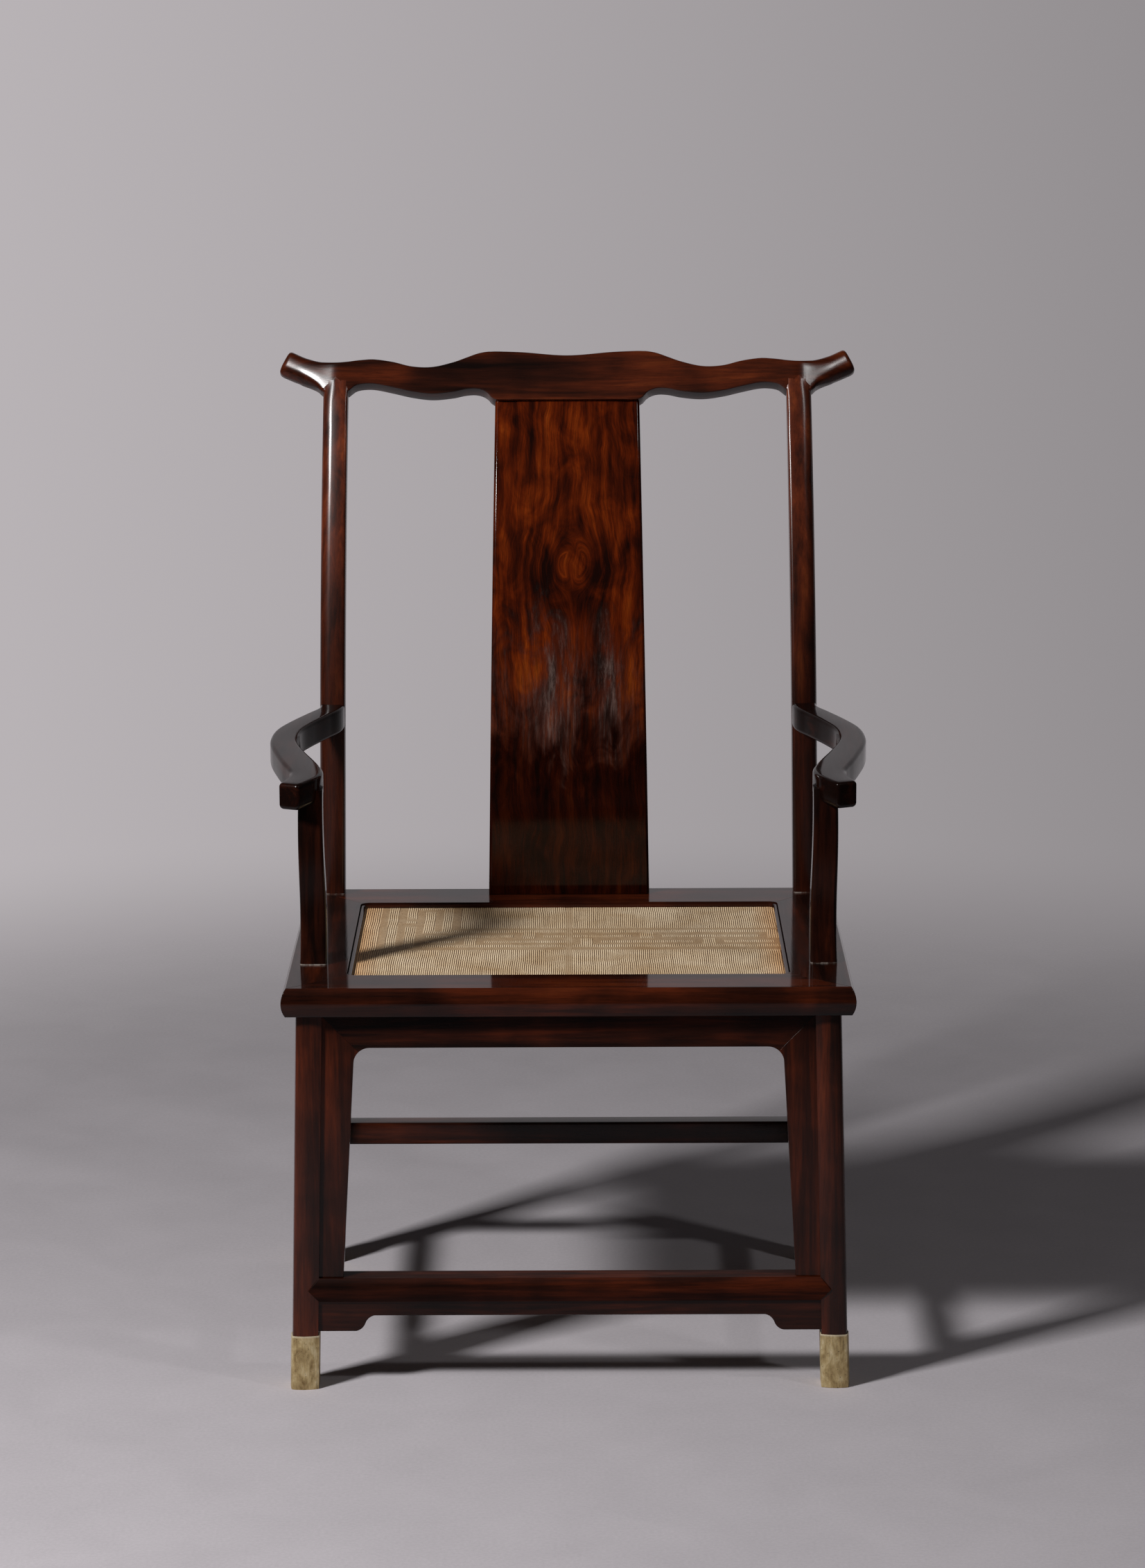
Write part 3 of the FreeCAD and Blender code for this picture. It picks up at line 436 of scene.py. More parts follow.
MAT_PLAY = 0.0005
MAT_LEFT = NET_LEFT + MAT_PLAY
MAT_RIGHT = NET_RIGHT - MAT_PLAY
MAT_FRONT = NET_FRONT + MAT_PLAY
MAT_REAR = NET_REAR - MAT_PLAY
MAT_UNDER = 0.5016
MAT_FACE = 0.50345
MAT_CORNER = 0.012
MAT_COLUMNS = 836
RIB_PITCH = 0.0026
RIB_HEIGHT = 0.00045
FLAT_RIB = 0.35
BAND_FRONT = -0.1160
BAND_REAR = 0.0080
SEAM_HALF = 0.0045
SEAM_SHARE = 0.55
BAR_END = 0.0110
FRET_FLATS = [
    (-0.244, MAT_RIGHT, -0.1137, -0.1000),
    (-0.1504, MAT_RIGHT, -0.0045, 0.0056),
    (-0.244, -0.234, -0.1137, MAT_REAR),
    (-0.2206, -0.2108, -0.1060, MAT_REAR),
    (-0.1970, -0.1873, -0.1060, 0.1000),
    (-0.1730, -0.1627, -0.0110, 0.1000),
    (-0.1504, -0.1404, -0.0045, MAT_REAR),
    (-0.1970, -0.1627, 0.1000, 0.1120),
    (-0.1970, -0.1627, 0.1230, MAT_REAR),
    (-0.2206, -0.1873, 0.0180, 0.0340),
    (-0.2206, -0.1873, 0.0470, 0.0600),
]
UPPER_BARS = ((-0.195, -0.0595), (-0.043, 0.0917), (0.1076, 0.2543))
UPPER_LEVELS = (-0.0516, -0.0446, -0.0326, -0.0195)
LOWER_BARS = ((-0.194, -0.134), (-0.118, 0.0151), (0.0301, 0.1703), (0.1866, MAT_RIGHT))
LOWER_LEVELS = (-0.0852, -0.0756, -0.0636, -0.0516)
for bars, (front, inner, outer, rear) in ((UPPER_BARS, UPPER_LEVELS), (LOWER_BARS, LOWER_LEVELS)):
    for left, right in bars:
        FRET_FLATS += [
            (left, right, front, inner), (left, right, outer, rear),
            (left, left + BAR_END, front, rear), (right - BAR_END, right, front, rear)]
CANE_SHADOW = (0.040, 0.018, 0.009)
CANE_BROWN = (0.190, 0.110, 0.056)
CANE_STRAW = (0.50, 0.355, 0.21)
CANE_CREAM = (0.76, 0.61, 0.42)
FRET_BROWN = (0.275, 0.183, 0.106)
FRET_STRAW = (0.54, 0.39, 0.24)
CANE_AGED = (0.74, 0.62, 0.47)
CANE_EDGE = (1.0, 0.72, 0.48)


def in_fret(x, y):
    if abs(x) < SEAM_HALF:
        return SEAM_SHARE
    for left, right, front, rear in FRET_FLATS:
        if left <= x <= right and front <= y <= rear:
            return 1.0
    return 0.0


def spaced(start, end, steps):
    return [start + (end - start) * step / steps for step in range(steps)]


def mat_point(column, y):
    x = MAT_LEFT + (MAT_RIGHT - MAT_LEFT) * column / MAT_COLUMNS
    inner_x = max(abs(x) - (MAT_RIGHT - MAT_CORNER), 0.0)
    middle = (MAT_FRONT + MAT_REAR) / 2
    inner_y = max(abs(y - middle) - ((MAT_REAR - MAT_FRONT) / 2 - MAT_CORNER), 0.0)
    reach = math.hypot(inner_x, inner_y)
    if reach > MAT_CORNER:
        x -= math.copysign(inner_x * (1 - MAT_CORNER / reach), x)
        y -= math.copysign(inner_y * (1 - MAT_CORNER / reach), y - middle)
    return x, y


def weave_phase(x, y):
    sway = 0.0003 * math.sin(y * 41.0 + x * 17.0) + 0.0002 * math.sin(y * 93.0 - x * 29.0)
    lean = 0.012 * (y - MAT_FRONT) * math.sin(x * 11.0)
    return (x + sway + lean) / RIB_PITCH


def pick_up(piece):
    bpy.ops.object.select_all(action="DESELECT")
    piece.select_set(True)
    bpy.context.view_layer.objects.active = piece


MAT_ROWS = spaced(MAT_FRONT, BAND_FRONT, 19) + spaced(BAND_FRONT, BAND_REAR, 62)
MAT_ROWS += spaced(BAND_REAR, MAT_REAR, 20) + [MAT_REAR]
verts = []
phases = []
frets = []
for y_row in MAT_ROWS:
    for column in range(MAT_COLUMNS + 1):
        x, y = mat_point(column, y_row)
        phase = weave_phase(x, y)
        fret = in_fret(x, y)
        rib = abs(math.sin(math.pi * phase)) if fret < 0.5 else FLAT_RIB
        verts.append((x, y, MAT_FACE + RIB_HEIGHT * rib))
        phases.append(phase)
        frets.append(fret)
faces = []
for row in range(len(MAT_ROWS) - 1):
    for column in range(MAT_COLUMNS):
        corner = row * (MAT_COLUMNS + 1) + column
        faces.append((corner, corner + 1, corner + MAT_COLUMNS + 2, corner + MAT_COLUMNS + 1))
mat = new_piece("cane_mat", verts, faces)
for label, values in (("ribs", phases), ("fret", frets)):
    layer = mat.data.attributes.new(label, "FLOAT", "POINT")
    layer.data.foreach_set("value", values)
pick_up(mat)
bpy.ops.object.mode_set(mode="EDIT")
bpy.ops.mesh.select_mode(type="EDGE")
bpy.ops.mesh.select_all(action="DESELECT")
bpy.ops.mesh.select_non_manifold()
bpy.ops.mesh.extrude_region_move()
bpy.ops.transform.resize(value=(1, 1, 0), center_override=(0, 0, MAT_UNDER))
bpy.ops.mesh.edge_face_add()
bpy.ops.object.mode_set(mode="OBJECT")
bpy.ops.object.shade_smooth_by_angle(angle=math.radians(60))

cane, tree, weave = new_finish("split_cane")
place = where_on(tree)
ribs = tree.nodes.new("ShaderNodeAttribute")
ribs.attribute_name = "ribs"
fret = tree.nodes.new("ShaderNodeAttribute")
fret.attribute_name = "fret"
shake = noise(tree, place, 240.0, detail=2.0)
fray = noise(tree, place, 700.0, twist=0.5)
age = noise(tree, place, 14.0, detail=4.0, twist=0.5)
straws = noise(tree, lay_grain(tree, place, "Y", stretch=0.03, shift=0.4), 300.0, detail=2.0, rough=0.5)
shaken = sums(tree, "MULTIPLY_ADD", shake, 0.55, ribs.outputs["Fac"])
wave = sums(tree, "ABSOLUTE", sums(tree, "SINE", sums(tree, "MULTIPLY", shaken, math.pi)))
ridge = sums(tree, "MULTIPLY_ADD", straws, 0.5, sums(tree, "ADD", wave, -0.40))
ridge = sums(tree, "MULTIPLY_ADD", fray, 0.30, ridge)
cream = ramp(tree, ridge, [
    (0.10, CANE_SHADOW), (0.40, CANE_BROWN), (0.62, CANE_STRAW), (0.87, CANE_CREAM)])
plain = ramp(tree, fray, [(0.3, FRET_BROWN), (0.7, FRET_STRAW)])
straw = stain(tree, "MIX", fret.outputs["Fac"], cream, plain)
straw = stain(tree, "MULTIPLY", 0.8, straw, ramp(tree, age, [(0.3, CANE_AGED), (0.65, grey(1.05))]))
off_middle = sums(tree, "ABSOLUTE", ways_of(tree, place)["X"])
edge = fade_between(tree, off_middle, 0.235, 0.275, 0.0, 1.0, curve="LINEAR")
straw = stain(tree, "MULTIPLY", edge, straw, CANE_EDGE)
tree.links.new(straw, weave.inputs["Base Color"])
tree.links.new(ramp(tree, fray, [(0.3, grey(0.80)), (0.7, grey(0.62))]), weave.inputs["Roughness"])
tree.links.new(relief(tree, fray, strength=0.5, depth=0.0004), weave.inputs["Normal"])
weave.inputs["Specular IOR Level"].default_value = 0.3
mat.data.materials.append(cane)
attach(mat, "root")
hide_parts("seat_mat")
STRIPS = ("mat_strip_front", "mat_strip_rear")
SIDE_STRIPS = ("mat_strip_left", "mat_strip_right")
finish_with(rail_wood, *STRIPS)
finish_with(side_rail_wood, *SIDE_STRIPS)
ease(STRIPS + SIDE_STRIPS, sharp=40.0)


# The back splat, one wide board worked to the back's curve and let into the crest and the rear rail.
# It was picked for its figure: the grain flows round a burl eye. Its foot is painted dark as painted shade,
# and pale streaks below the eye are painted highlight on fine scratches.

EYE_X = 0.008
EYE_Z = 0.946
EYE_SIZE = 0.026
LEFT_GLINT_X = -0.022
LEFT_GLINT_HALF = 0.045
RIGHT_GLINT_X = 0.056
RIGHT_GLINT_HALF = 0.022
GLINT_GREY = (0.170, 0.118, 0.102)
SPLAT_REDS = [
    (0.29, (0.0070, 0.0014, 0.0007)), (0.36, (0.028, 0.0034, 0.0006)), (0.43, (0.064, 0.0075, 0.0008)),
    (0.50, (0.112, 0.0155, 0.0014)), (0.60, (0.200, 0.0390, 0.0040))]
figured, tree, board = new_finish("figured_rosewood")
place = where_on(tree)
ways = ways_of(tree, place)

wander = noise(tree, place, 13.0, detail=2.0, rough=0.5, twist=0.3)
wander = sums(tree, "MULTIPLY_ADD", wander, 0.022, -0.011)
across = sums(tree, "ADD", sums(tree, "ADD", ways["X"], -EYE_X), wander)
up = sums(tree, "ADD", ways["Z"], -EYE_Z)
flat_up = sums(tree, "MULTIPLY", up, 0.75)
square = sums(tree, "MULTIPLY", flat_up, flat_up)
square = sums(tree, "ADD", sums(tree, "MULTIPLY", across, across), square)
pull = sums(tree, "DIVIDE", EYE_SIZE * EYE_SIZE, sums(tree, "MAXIMUM", square, 0.0002))
flow = sums(tree, "MULTIPLY", across, sums(tree, "SUBTRACT", 1.0, pull))
join = tree.nodes.new("ShaderNodeCombineXYZ")
tree.links.new(flow, join.inputs["X"])
tree.links.new(sums(tree, "MULTIPLY", up, 0.05), join.inputs["Z"])
grain = join.outputs["Vector"]

streaks = noise(tree, grain, 85.0, rough=0.55, twist=0.2)
lines = noise(tree, grain, 420.0, detail=2.0)
fibres = noise(tree, grain, 1300.0, detail=2.0)
drawn_out = lay_grain(tree, place, "Z", stretch=0.40, shift=0.0)
mottle = noise(tree, drawn_out, 26.0, detail=4.0, rough=0.55, twist=1.1)
distance = sums(tree, "SQRT", square)
eye_inside = fade_between(tree, distance, 0.010, 0.028, 0.0, 1.0)
eye_outside = fade_between(tree, distance, 0.028, 0.070, 1.0, 0.0)
shade = sums(tree, "MULTIPLY", eye_inside, eye_outside)
shade = sums(tree, "MULTIPLY", shade, fade_between(tree, up, -0.030, 0.030, -0.13, -0.04))
tone = sums(tree, "MULTIPLY_ADD", streaks, 0.40, shade)
tone = sums(tree, "MULTIPLY_ADD", mottle, 0.44, tone)
colour = ramp(tree, tone, SPLAT_REDS)
veins = ramp(tree, lines, [(0.32, grey(0.58)), (0.6, grey(1.2))])
colour = stain(tree, "MULTIPLY", 0.8, colour, veins)
threads = ramp(tree, fibres, [(0.32, grey(0.60)), (0.62, grey(1.25))])
colour = stain(tree, "MULTIPLY", 0.8, colour, threads)
level = sums(tree, "MULTIPLY_ADD", mottle, 0.30, ways["Z"])
# The board is painted darker towards its foot: painted shade.
shaded_foot = ramp(tree, fade_between(tree, level, 0.81, 1.06, 0.0, 1.0), [
    (0.0, grey(0.20)), (0.5, grey(0.55)), (1.0, grey(1.0))])
colour = stain(tree, "MULTIPLY", 1.0, colour, shaded_foot)

# Pale streaks on both sides below the eye are painted highlight on fine scratches.
off_left = sums(tree, "ABSOLUTE", sums(tree, "ADD", ways["X"], -LEFT_GLINT_X))
off_right = sums(tree, "ABSOLUTE", sums(tree, "ADD", ways["X"], -RIGHT_GLINT_X))
left_glint = fade_between(tree, off_left, 0.0, LEFT_GLINT_HALF, 1.0, 0.0)
right_glint = fade_between(tree, off_right, 0.0, RIGHT_GLINT_HALF, 0.9, 0.0)
glint_below = fade_between(tree, level, 0.83, 0.92, 0.0, 1.0)
glint_above = fade_between(tree, level, 0.92, 1.04, 1.0, 0.0)
wear_and_glint = sums(tree, "ADD", 0.2, sums(tree, "MAXIMUM", left_glint, right_glint))
wear_and_glint = sums(tree, "MULTIPLY", sums(tree, "MULTIPLY", glint_below, glint_above), wear_and_glint)
long_strokes = lay_grain(tree, place, "Z", stretch=0.022, shift=0.9)
scratch_glints = noise(tree, long_strokes, 210.0, detail=6.0, rough=0.8, twist=0.2)
scratch_glints = fade_between(tree, scratch_glints, 0.44, 0.74, 0.07, 0.62)
colour = stain(tree, "MIX", sums(tree, "MULTIPLY", wear_and_glint, scratch_glints), colour, GLINT_GREY)
tree.links.new(colour, board.inputs["Base Color"])
tree.links.new(ramp(tree, lines, [(0.3, grey(0.5)), (0.7, grey(0.35))]), board.inputs["Roughness"])
tree.links.new(relief(tree, lines, strength=0.10, depth=0.0001), board.inputs["Coat Normal"])
lacquer(board, gloss=0.10, shine=LACQUER_SHINE)
finish_with(figured, "back_splat")
ease(("back_splat",), sharp=40.0, arris=0.0010)


# The waved crest rail that caps the back, carved from one thick billet, with ends that sweep up and back.
# The rear posts enter it in pointed shoulders, and its front is polished by hands.

CREST_MIDDLE = 1.190
CREST_BACK = 0.30382
CREST_LEAN = math.radians(24.0)
CREST_DEEP = 0.036
CREST_PROUD = 0.0005
MIDDLE_BOW = 0.014
NECK_X = 0.305
NECK_DEEP = 0.0325
NECK_BLEND = (-0.006, -0.003, 0.0, 0.003, 0.006)
HORN_X = 0.335
TIP_X = 0.381
TIP_DEEP = 0.027
TIP_SWEEP = 0.022
TIP_RISE = 1.2015
TIP_SLANT = 0.6
TIP_ROUND = 0.0145
TIP_SWELL = 0.0022
LEAST_ROUND = 0.001
CREST_CORNERS = (
    (-1, -1, 0.002, 0.0115), (1, -1, 0.005, 0.0095), (1, 1, 0.009, 0.0095), (-1, 1, 0.004, 0.0100))
CORNER_STEPS = 6
CREST_WAVE = (
    (-0.060, 1.2203, 1.1600), (0.000, 1.2163, 1.1600), (0.060, 1.2203, 1.1600), (0.093, 1.2213, 1.1600),
    (0.099, 1.2211, 1.1620), (0.106, 1.2208, 1.1690), (0.118, 1.2185, 1.1733), (0.133, 1.2133, 1.1729),
    (0.150, 1.2074, 1.1694), (0.178, 1.2011, 1.1667), (0.205, 1.2015, 1.1693), (0.230, 1.2068, 1.1742),
    (0.255, 1.2096, 1.1783), (0.272, 1.2085, 1.1774), (0.281, 1.2074, 1.1743), (0.288, 1.2063, 1.1685),
    (0.305, 1.2050, 1.1660), (0.322, 1.2070, 1.1693), (0.329, 1.2088, 1.1753), (0.338, 1.2122, 1.1797),
    (0.350, 1.2175, 1.1845), (0.371, 1.2293, 1.1945), (0.391, 1.2415, 1.2040))
UPPER_EDGE = 1
LOWER_EDGE = 2


def slope_at(table, spot, column):
    before = table[max(spot - 1, 0)]
    after = table[min(spot + 1, len(table) - 1)]
    return (after[column] - before[column]) / (after[0] - before[0])


def smooth_value(table, at, column):
    spot = 0
    while spot < len(table) - 2 and table[spot + 1][0] < at:
        spot += 1
    near, far = table[spot], table[spot + 1]
    run = far[0] - near[0]
    t = (at - near[0]) / run
    start = (1 + 2 * t) * (1 - t) ** 2 * near[column]
    leave = t * (1 - t) ** 2 * run * slope_at(table, spot, column)
    end = t * t * (3 - 2 * t) * far[column]
    arrive = t * t * (t - 1) * run * slope_at(table, spot + 1, column)
    return start + leave + end + arrive


def wave_height(x, edge):
    return smooth_value(CREST_WAVE, abs(x), edge)


def eased_step(value):
    value = min(max(value, 0.0), 1.0)
    return value * value * (3 - 2 * value)


def corner_arc(side, level, radius, deep, tall):
    arc = []
    for step in range(CORNER_STEPS + 1):
        turn = math.pi / 2 * step / CORNER_STEPS
        first, second = radius * (1 - math.cos(turn)), radius * (1 - math.sin(turn))
        if side * level > 0:
            first, second = second, first
        arc.append((side * (deep - second), level * (tall - first)))
    return arc


def crest_bow(x):
    bow = 0.0
    for shift in NECK_BLEND:
        spot = abs(x) + shift
        bow += MIDDLE_BOW * max(0.0, 1 - (spot / NECK_X) ** 2) / len(NECK_BLEND)
        bow += TIP_SWEEP * max(0.0, spot - NECK_X) / (TIP_X - NECK_X) / len(NECK_BLEND)
    return bow


def crest_outline(x, inset):
    past = max(0.0, abs(x) - NECK_X) / (TIP_X - NECK_X)
    between = max(0.0, 1 - (x / NECK_X) ** 2)
    soft = eased_step(past * 1.5)
    deep = (NECK_DEEP + (CREST_DEEP - NECK_DEEP) * between + (TIP_DEEP - NECK_DEEP) * past) / 2 - inset
    tall = (wave_height(x, UPPER_EDGE) - wave_height(x, LOWER_EDGE)) / math.cos(CREST_LEAN) / 2 - inset
    points = []
    for side, level, radius, round_tip in CREST_CORNERS:
        radius += (round_tip - radius) * soft
        points += corner_arc(side, level, max(radius - inset, LEAST_ROUND), deep, tall)
    low, high = points[0][1], points[-1][1]
    for step in range(1, CORNER_STEPS):
        points.append((-deep, high + (low - high) * step / CORNER_STEPS))
    bow = crest_bow(x)
    outline = []
    for out, up in points:
        front = CREST_PROUD + TIP_SWELL * soft * (1 - (up / tall) ** 2) if out < 0 else 0.0
        outline.append((bow + out - front, up))
    return outline


def tip_reach(rise):
    if rise >= TIP_RISE:
        return TIP_SLANT * (rise - TIP_RISE)
    drop = min((TIP_RISE - rise) / TIP_ROUND, 1.0)
    return TIP_ROUND * (1 - math.sqrt(1 - drop * drop))


def crest_place(x, rise, out):
    along = (rise - CREST_MIDDLE) / math.cos(CREST_LEAN) - CREST_DEEP / 2 * math.tan(CREST_LEAN)
    back = CREST_BACK + along * math.sin(CREST_LEAN) + out * math.cos(CREST_LEAN)
    return (x, back, CREST_MIDDLE + along * math.cos(CREST_LEAN) - out * math.sin(CREST_LEAN))


def crest_ring(station, inset):
    side = -1.0 if station < 0 else 1.0
    pulled = eased_step((abs(station) - HORN_X) / (TIP_X - HORN_X))
    ring = []
    for number in range(len(crest_outline(station, inset))):
        x = abs(station)
        for trial in range(4):
            out, up = crest_outline(x, inset)[number]
            middle = (wave_height(x, UPPER_EDGE) + wave_height(x, LOWER_EDGE)) / 2
            rise = middle + up * math.cos(CREST_LEAN)
            x = abs(station) - pulled * tip_reach(rise)
        ring.append(crest_place(side * x, rise, out))
    return ring


def skin(name, rings):
    around = len(rings[0])
    verts = [point for ring in rings for point in ring]
    faces = [tuple(range(around))[::-1], tuple(range(len(verts) - around, len(verts)))]
    for row in range(len(rings) - 1):
        for step in range(around):
            corner, turned = row * around + step, row * around + (step + 1) % around
            faces.append((corner, turned, turned + around, corner + around))
    piece = new_piece(name, verts, faces)
    pick_up(piece)
    bpy.ops.object.mode_set(mode="EDIT")
    bpy.ops.mesh.select_all(action="SELECT")
    bpy.ops.mesh.normals_make_consistent(inside=False)
    bpy.ops.object.mode_set(mode="OBJECT")
    return piece


def cut_from(piece, cutter):
    joint = piece.modifiers.new("joint", "BOOLEAN")
    joint.object = cutter
    joint.operation = "DIFFERENCE"
    joint.solver = "EXACT"
    bpy.ops.object.modifier_apply(modifier=joint.name)
    bpy.data.objects.remove(cutter)


STATION_STEP = 0.004
HORN_STEP = 0.0025
bar_stations = [(STATION_STEP * step, 0.0) for step in range(1, 84)]
horn_stations = [(STATION_STEP * 84 + HORN_STEP * step, 0.0) for step in range(17)]
tip_stations = [(0.3785, 0.0006), (0.3801, 0.0018), (TIP_X, 0.0040), (TIP_X, 0.0075)]
right_half = bar_stations + horn_stations + tip_stations
left_half = [(-x, inset) for x, inset in reversed(right_half)]
crest = skin("waved_crest", [crest_ring(*station) for station in left_half + [(0.0, 0.0)] + right_half])

SHOULDER_HALF = 0.01625
SHOULDER_FOOT = 1.150
SHOULDER_RISE = 1.173
SHOULDER_POINT = 1.186
SHOULDER_FRONT = -0.030
SHOULDER_BACK = -0.0045
SHOULDER = (
    (-SHOULDER_HALF, SHOULDER_FOOT), (SHOULDER_HALF, SHOULDER_FOOT), (SHOULDER_HALF, SHOULDER_RISE),
    (0.0, SHOULDER_POINT), (-SHOULDER_HALF, SHOULDER_RISE))
for middle in (-NECK_X, NECK_X):
    points = []
    for out in (SHOULDER_FRONT, SHOULDER_BACK):
        points += [crest_place(middle + x, rise, out) for x, rise in SHOULDER]
    faces = [(0, 1, 2, 3, 4), (9, 8, 7, 6, 5)]
    for step in range(5):
        onward = (step + 1) % 5
        faces.append((step, step + 5, onward + 5, onward))
    cut_from(crest, new_piece("shoulder_chisel", points, faces))
bpy.ops.object.shade_smooth_by_angle(angle=math.radians(50))

crest_wood = rosewood("crest_rosewood", "X", shift=11.3, red=0.025, gloss=0.20, shine=1.40)
crest.data.materials.clear()
crest.data.materials.append(crest_wood)
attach(crest, "root")
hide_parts("crest_rail")


# The two S-shaped arms and the slim bowed posts that prop them at the front.
# Each arm is one sawn and rounded stick, tenoned into the rear post and lacquered almost black.

ARM_TALL = 0.033
ARM_TIP_LEVEL = 0.727
ARM_CLIMB = 0.0522
ARM_END_ROUND = 0.0045
ARM_END_STEPS = 5
ARM_CORNERS = ((-1, -1, 0.006), (1, -1, 0.006), (1, 1, 0.005), (-1, 1, 0.005))
ARM_LINE = (
    (-0.2368, 0.3430, 0.0290), (-0.2188, 0.3345, 0.0330), (-0.1958, 0.3260, 0.0380),
    (-0.1718, 0.3240, 0.0410), (-0.1478, 0.3290, 0.0420), (-0.1158, 0.3380, 0.0420),
    (-0.0758, 0.3490, 0.0390), (-0.0358, 0.3585, 0.0360), (0.0012, 0.3625, 0.0345),
    (0.0462, 0.3585, 0.0340), (0.0882, 0.3445, 0.0335), (0.1332, 0.3250, 0.0330),
    (0.1632, 0.3120, 0.0320), (0.1962, 0.3095, 0.0320))
ARM_OUT = 1
ARM_WIDE = 2
ARM_TIP_Y = ARM_LINE[0][0]
ARM_BODY_Y = -0.2305
ARM_RINGS = 107
SHORT_WAY = 0.001


def arm_ring(side, y, onward, inset):
    middle = smooth_value(ARM_LINE, y, ARM_OUT)
    lead = (smooth_value(ARM_LINE, y + SHORT_WAY, ARM_OUT) - middle) / SHORT_WAY
    run = math.hypot(lead, 1.0)
    deep = smooth_value(ARM_LINE, y, ARM_WIDE) / 2 - inset
    tall = ARM_TALL / 2 - inset
    level = ARM_TIP_LEVEL + ARM_CLIMB * (y - ARM_TIP_Y)
    ring = []
    for way, height, radius in ARM_CORNERS:
        for out, up in corner_arc(way, height, max(radius - inset, LEAST_ROUND), deep, tall):
            x = side * (middle + (onward * lead + out) / run)
            ring.append((x, y + (onward - out * lead) / run, level + up))
    return ring


arm_wood = rosewood("arm_rosewood", "Y", shift=12.9, red=-0.11, gloss=0.08)
for hand, side in (("left", -1), ("right", 1)):
    rings = []
    for step in range(ARM_END_STEPS + 1):
        turn = math.pi / 2 * (1 - step / ARM_END_STEPS)
        onward = ARM_END_ROUND * (1 - math.sin(turn))
        rings.append(arm_ring(side, ARM_TIP_Y, onward, ARM_END_ROUND * (1 - math.cos(turn))))
    for step in range(ARM_RINGS):
        rings.append(arm_ring(side, ARM_BODY_Y + STATION_STEP * step, onward=0.0, inset=0.0))
    arm = skin("curved_arm_" + hand, rings)
    for neighbour in ("rear_post_" + hand, "arm_post_" + hand, "joint_pegs"):
        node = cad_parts[neighbour]
        cutter = bpy.data.objects.new("joint_cutter", node.data)
        cutter.matrix_world = node.matrix_world
        bpy.context.collection.objects.link(cutter)
        weld = cutter.modifiers.new("join", "WELD")
        weld.merge_threshold = SAME_POINT
        cut_from(arm, cutter)
    arm.data.materials.clear()
    arm.data.materials.append(arm_wood)
    bpy.ops.object.shade_smooth_by_angle(angle=math.radians(40))
    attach(arm, "root")
    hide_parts("arm_" + hand)

ARM_POSTS = ("arm_post_left", "arm_post_right")
arm_post_wood = rosewood("arm_post_rosewood", "Z", shift=13.7, red=-0.06, gloss=0.12)
show_glue(arm_post_wood)
finish_with(arm_post_wood, *ARM_POSTS)
ease(ARM_POSTS, sharp=52.0)


# The small pegs that lock the tenons of the crest rail, the arms and the arm posts.
# They are split from the same rosewood, driven in and planed flush.

finish_with(arm_post_wood, "joint_pegs")
ease(("joint_pegs",), sharp=60.0)


# The studio: a pale paper floor that fades into a pale grey room, dark towards the viewer.
# A soft box stands at the left in front, and a small weak one stands high at the right in front.

FLOOR_GREY = (0.462, 0.430, 0.452)
ROOM_GREY = (0.47, 0.44, 0.455)
FLOOR_REACH = 5.0
FLOOR_FADE_START = 1.20
FLOOR_FADE_END = 3.00
ROOM_FILL = 0.07
bpy.ops.mesh.primitive_circle_add(vertices=96, radius=FLOOR_REACH, fill_type="NGON", location=(0, 0, 0))
floor = bpy.context.object
floor.name = "paper_floor"
paper, tree, sheet = new_finish("floor_paper")
place = where_on(tree)
tooth = noise(tree, place, 220.0)
smudges = noise(tree, place, 7.0, detail=5.0, twist=0.4)
tone = stain(
    tree, "MULTIPLY", 0.14, FLOOR_GREY, ramp(tree, tooth, [(0.3, grey(0.6)), (0.7, grey(1.25))]))
tone = stain(tree, "MULTIPLY", 0.18, tone, ramp(tree, smudges, [(0.3, grey(0.75)), (0.7, grey(1.15))]))
tree.links.new(tone, sheet.inputs["Base Color"])
sheet.inputs["Roughness"].default_value = 0.9
sheet.inputs["Specular IOR Level"].default_value = 0.1
length = tree.nodes.new("ShaderNodeVectorMath")
length.operation = "LENGTH"
tree.links.new(place, length.inputs[0])
fade = fade_between(tree, length.outputs["Value"], FLOOR_FADE_START, FLOOR_FADE_END, 1.0, 0.0)
tree.links.new(fade, sheet.inputs["Alpha"])
floor.data.materials.append(paper)

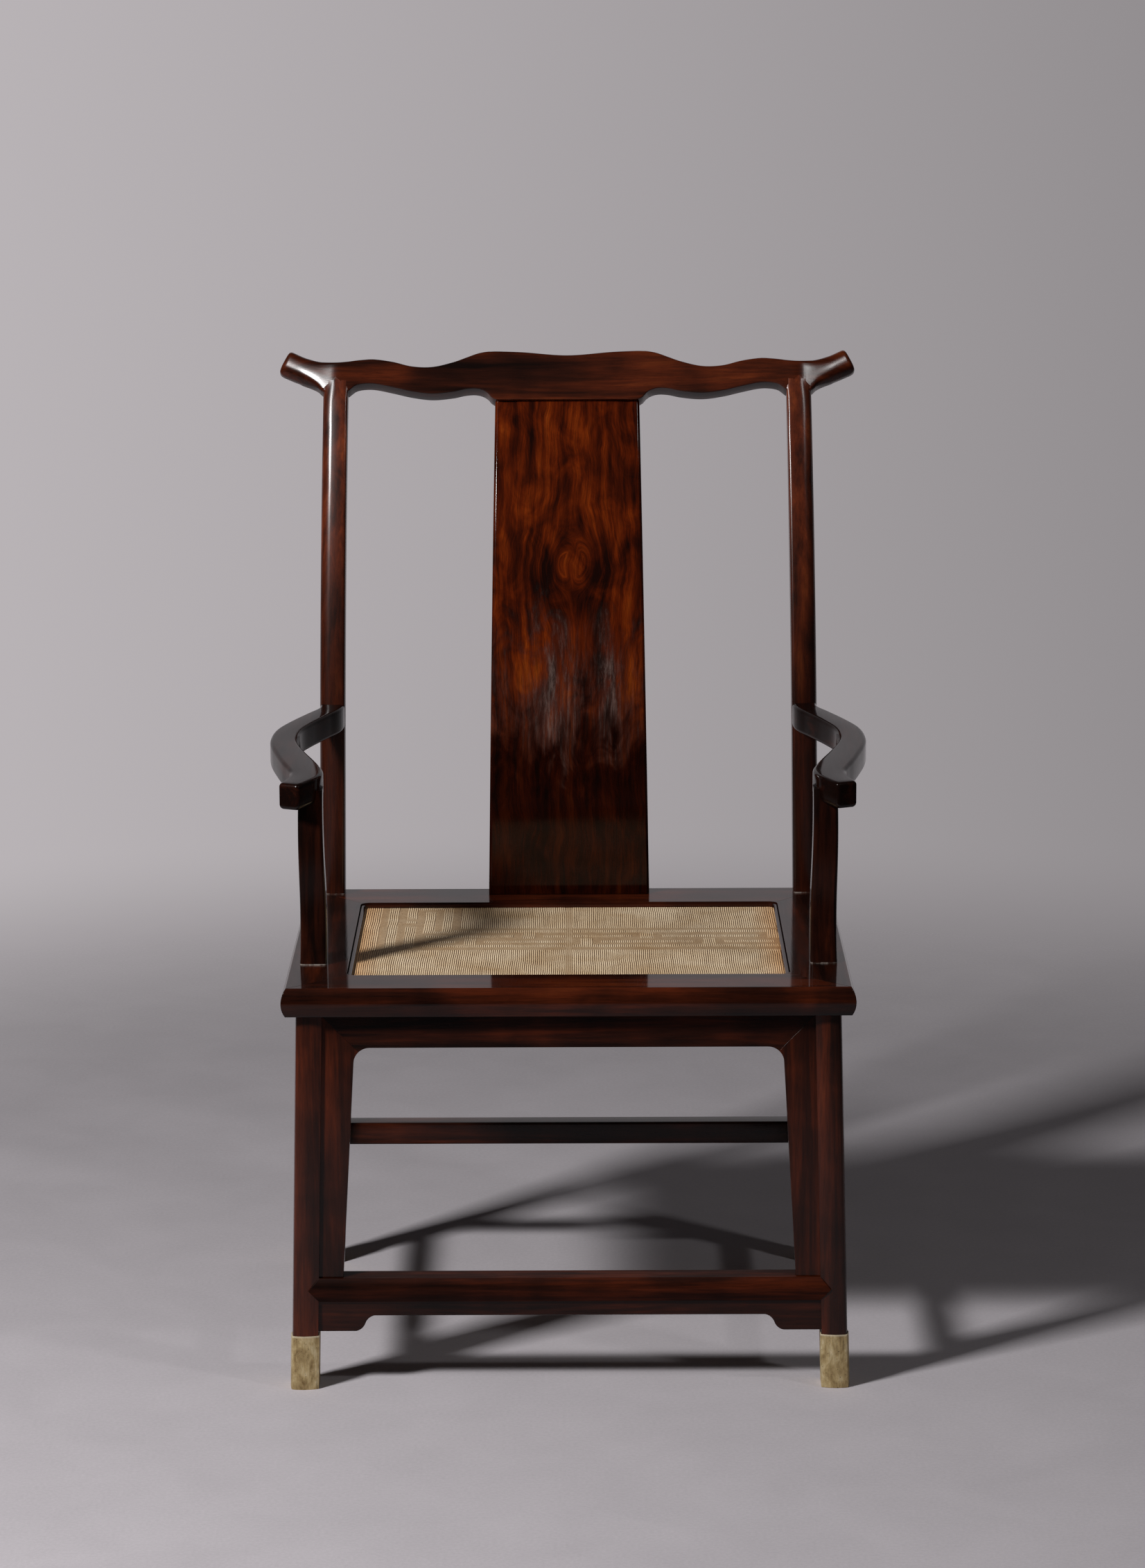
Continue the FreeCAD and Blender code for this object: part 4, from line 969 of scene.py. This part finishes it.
world = bpy.data.worlds.new("grey_room")
bpy.context.scene.world = world
world.use_nodes = True
tree = world.node_tree
room = tree.nodes["Background"]
path = tree.nodes.new("ShaderNodeLightPath")
facing = ways_of(tree, tree.nodes.new("ShaderNodeTexCoord").outputs["Generated"])
behind = fade_between(tree, facing["Y"], 0.50, 0.95, 0.05, 0.78, curve="LINEAR")
mirror = sums(tree, "MAXIMUM", path.outputs["Is Glossy Ray"], path.outputs["Is Transmission Ray"])
light = sums(tree, "MULTIPLY", behind, mirror)
# Seen straight on, the room is painted darker towards the right: painted shade on the backdrop.
paler = fade_between(tree, facing["X"], -0.12, 0.13, 1.02, 0.60, curve="LINEAR")
light = sums(tree, "MULTIPLY_ADD", path.outputs["Is Camera Ray"], paler, light)
seen = sums(tree, "MAXIMUM", mirror, path.outputs["Is Camera Ray"])
plain_light = sums(tree, "MULTIPLY", sums(tree, "SUBTRACT", 1.0, seen), ROOM_FILL)
tree.links.new(sums(tree, "ADD", light, plain_light), room.inputs["Strength"])
room.inputs["Color"].default_value = (*ROOM_GREY, 1.0)


def soft_box(name, place, aim, size, watts):
    lamp = bpy.data.lights.new(name, "AREA")
    lamp.shape = "SQUARE"
    lamp.size = size
    lamp.energy = watts
    box = bpy.data.objects.new(name, lamp)
    box.location = place
    box.rotation_euler = (Vector(aim) - Vector(place)).to_track_quat("-Z", "Y").to_euler()
    bpy.context.collection.objects.link(box)


soft_box("key_box", place=(-2.55, -2.30, 3.00), aim=(0.0, 0.0, 0.6), size=0.60, watts=200.0)
soft_box("side_box", place=(2.55, -1.91, 3.53), aim=(0.2, 0.1, 1.0), size=0.3, watts=18.0)

bpy.context.scene.view_settings.view_transform = "Standard"


# The camera stands in front, higher than the top of the chair, and looks a little down at it.
# It uses a long lens from across the room.

CAMERA_TURN = math.radians(0.097)
CAMERA_DIP = math.radians(11.43)
CAMERA_ROLL = math.radians(-0.229)
lens = bpy.data.cameras.new("camera")
lens.lens = 107.65
lens.sensor_width = 36.0
camera = bpy.data.objects.new("camera", lens)
bpy.context.collection.objects.link(camera)
turn = Matrix.Rotation(CAMERA_TURN, 4, "Z")
turn = turn @ Matrix.Rotation(math.pi / 2 - CAMERA_DIP, 4, "X")
turn = turn @ Matrix.Rotation(CAMERA_ROLL, 4, "Z")
camera.location = (0.0153, -5.8748, 1.882)
camera.rotation_euler = turn.to_euler()
bpy.context.scene.camera = camera
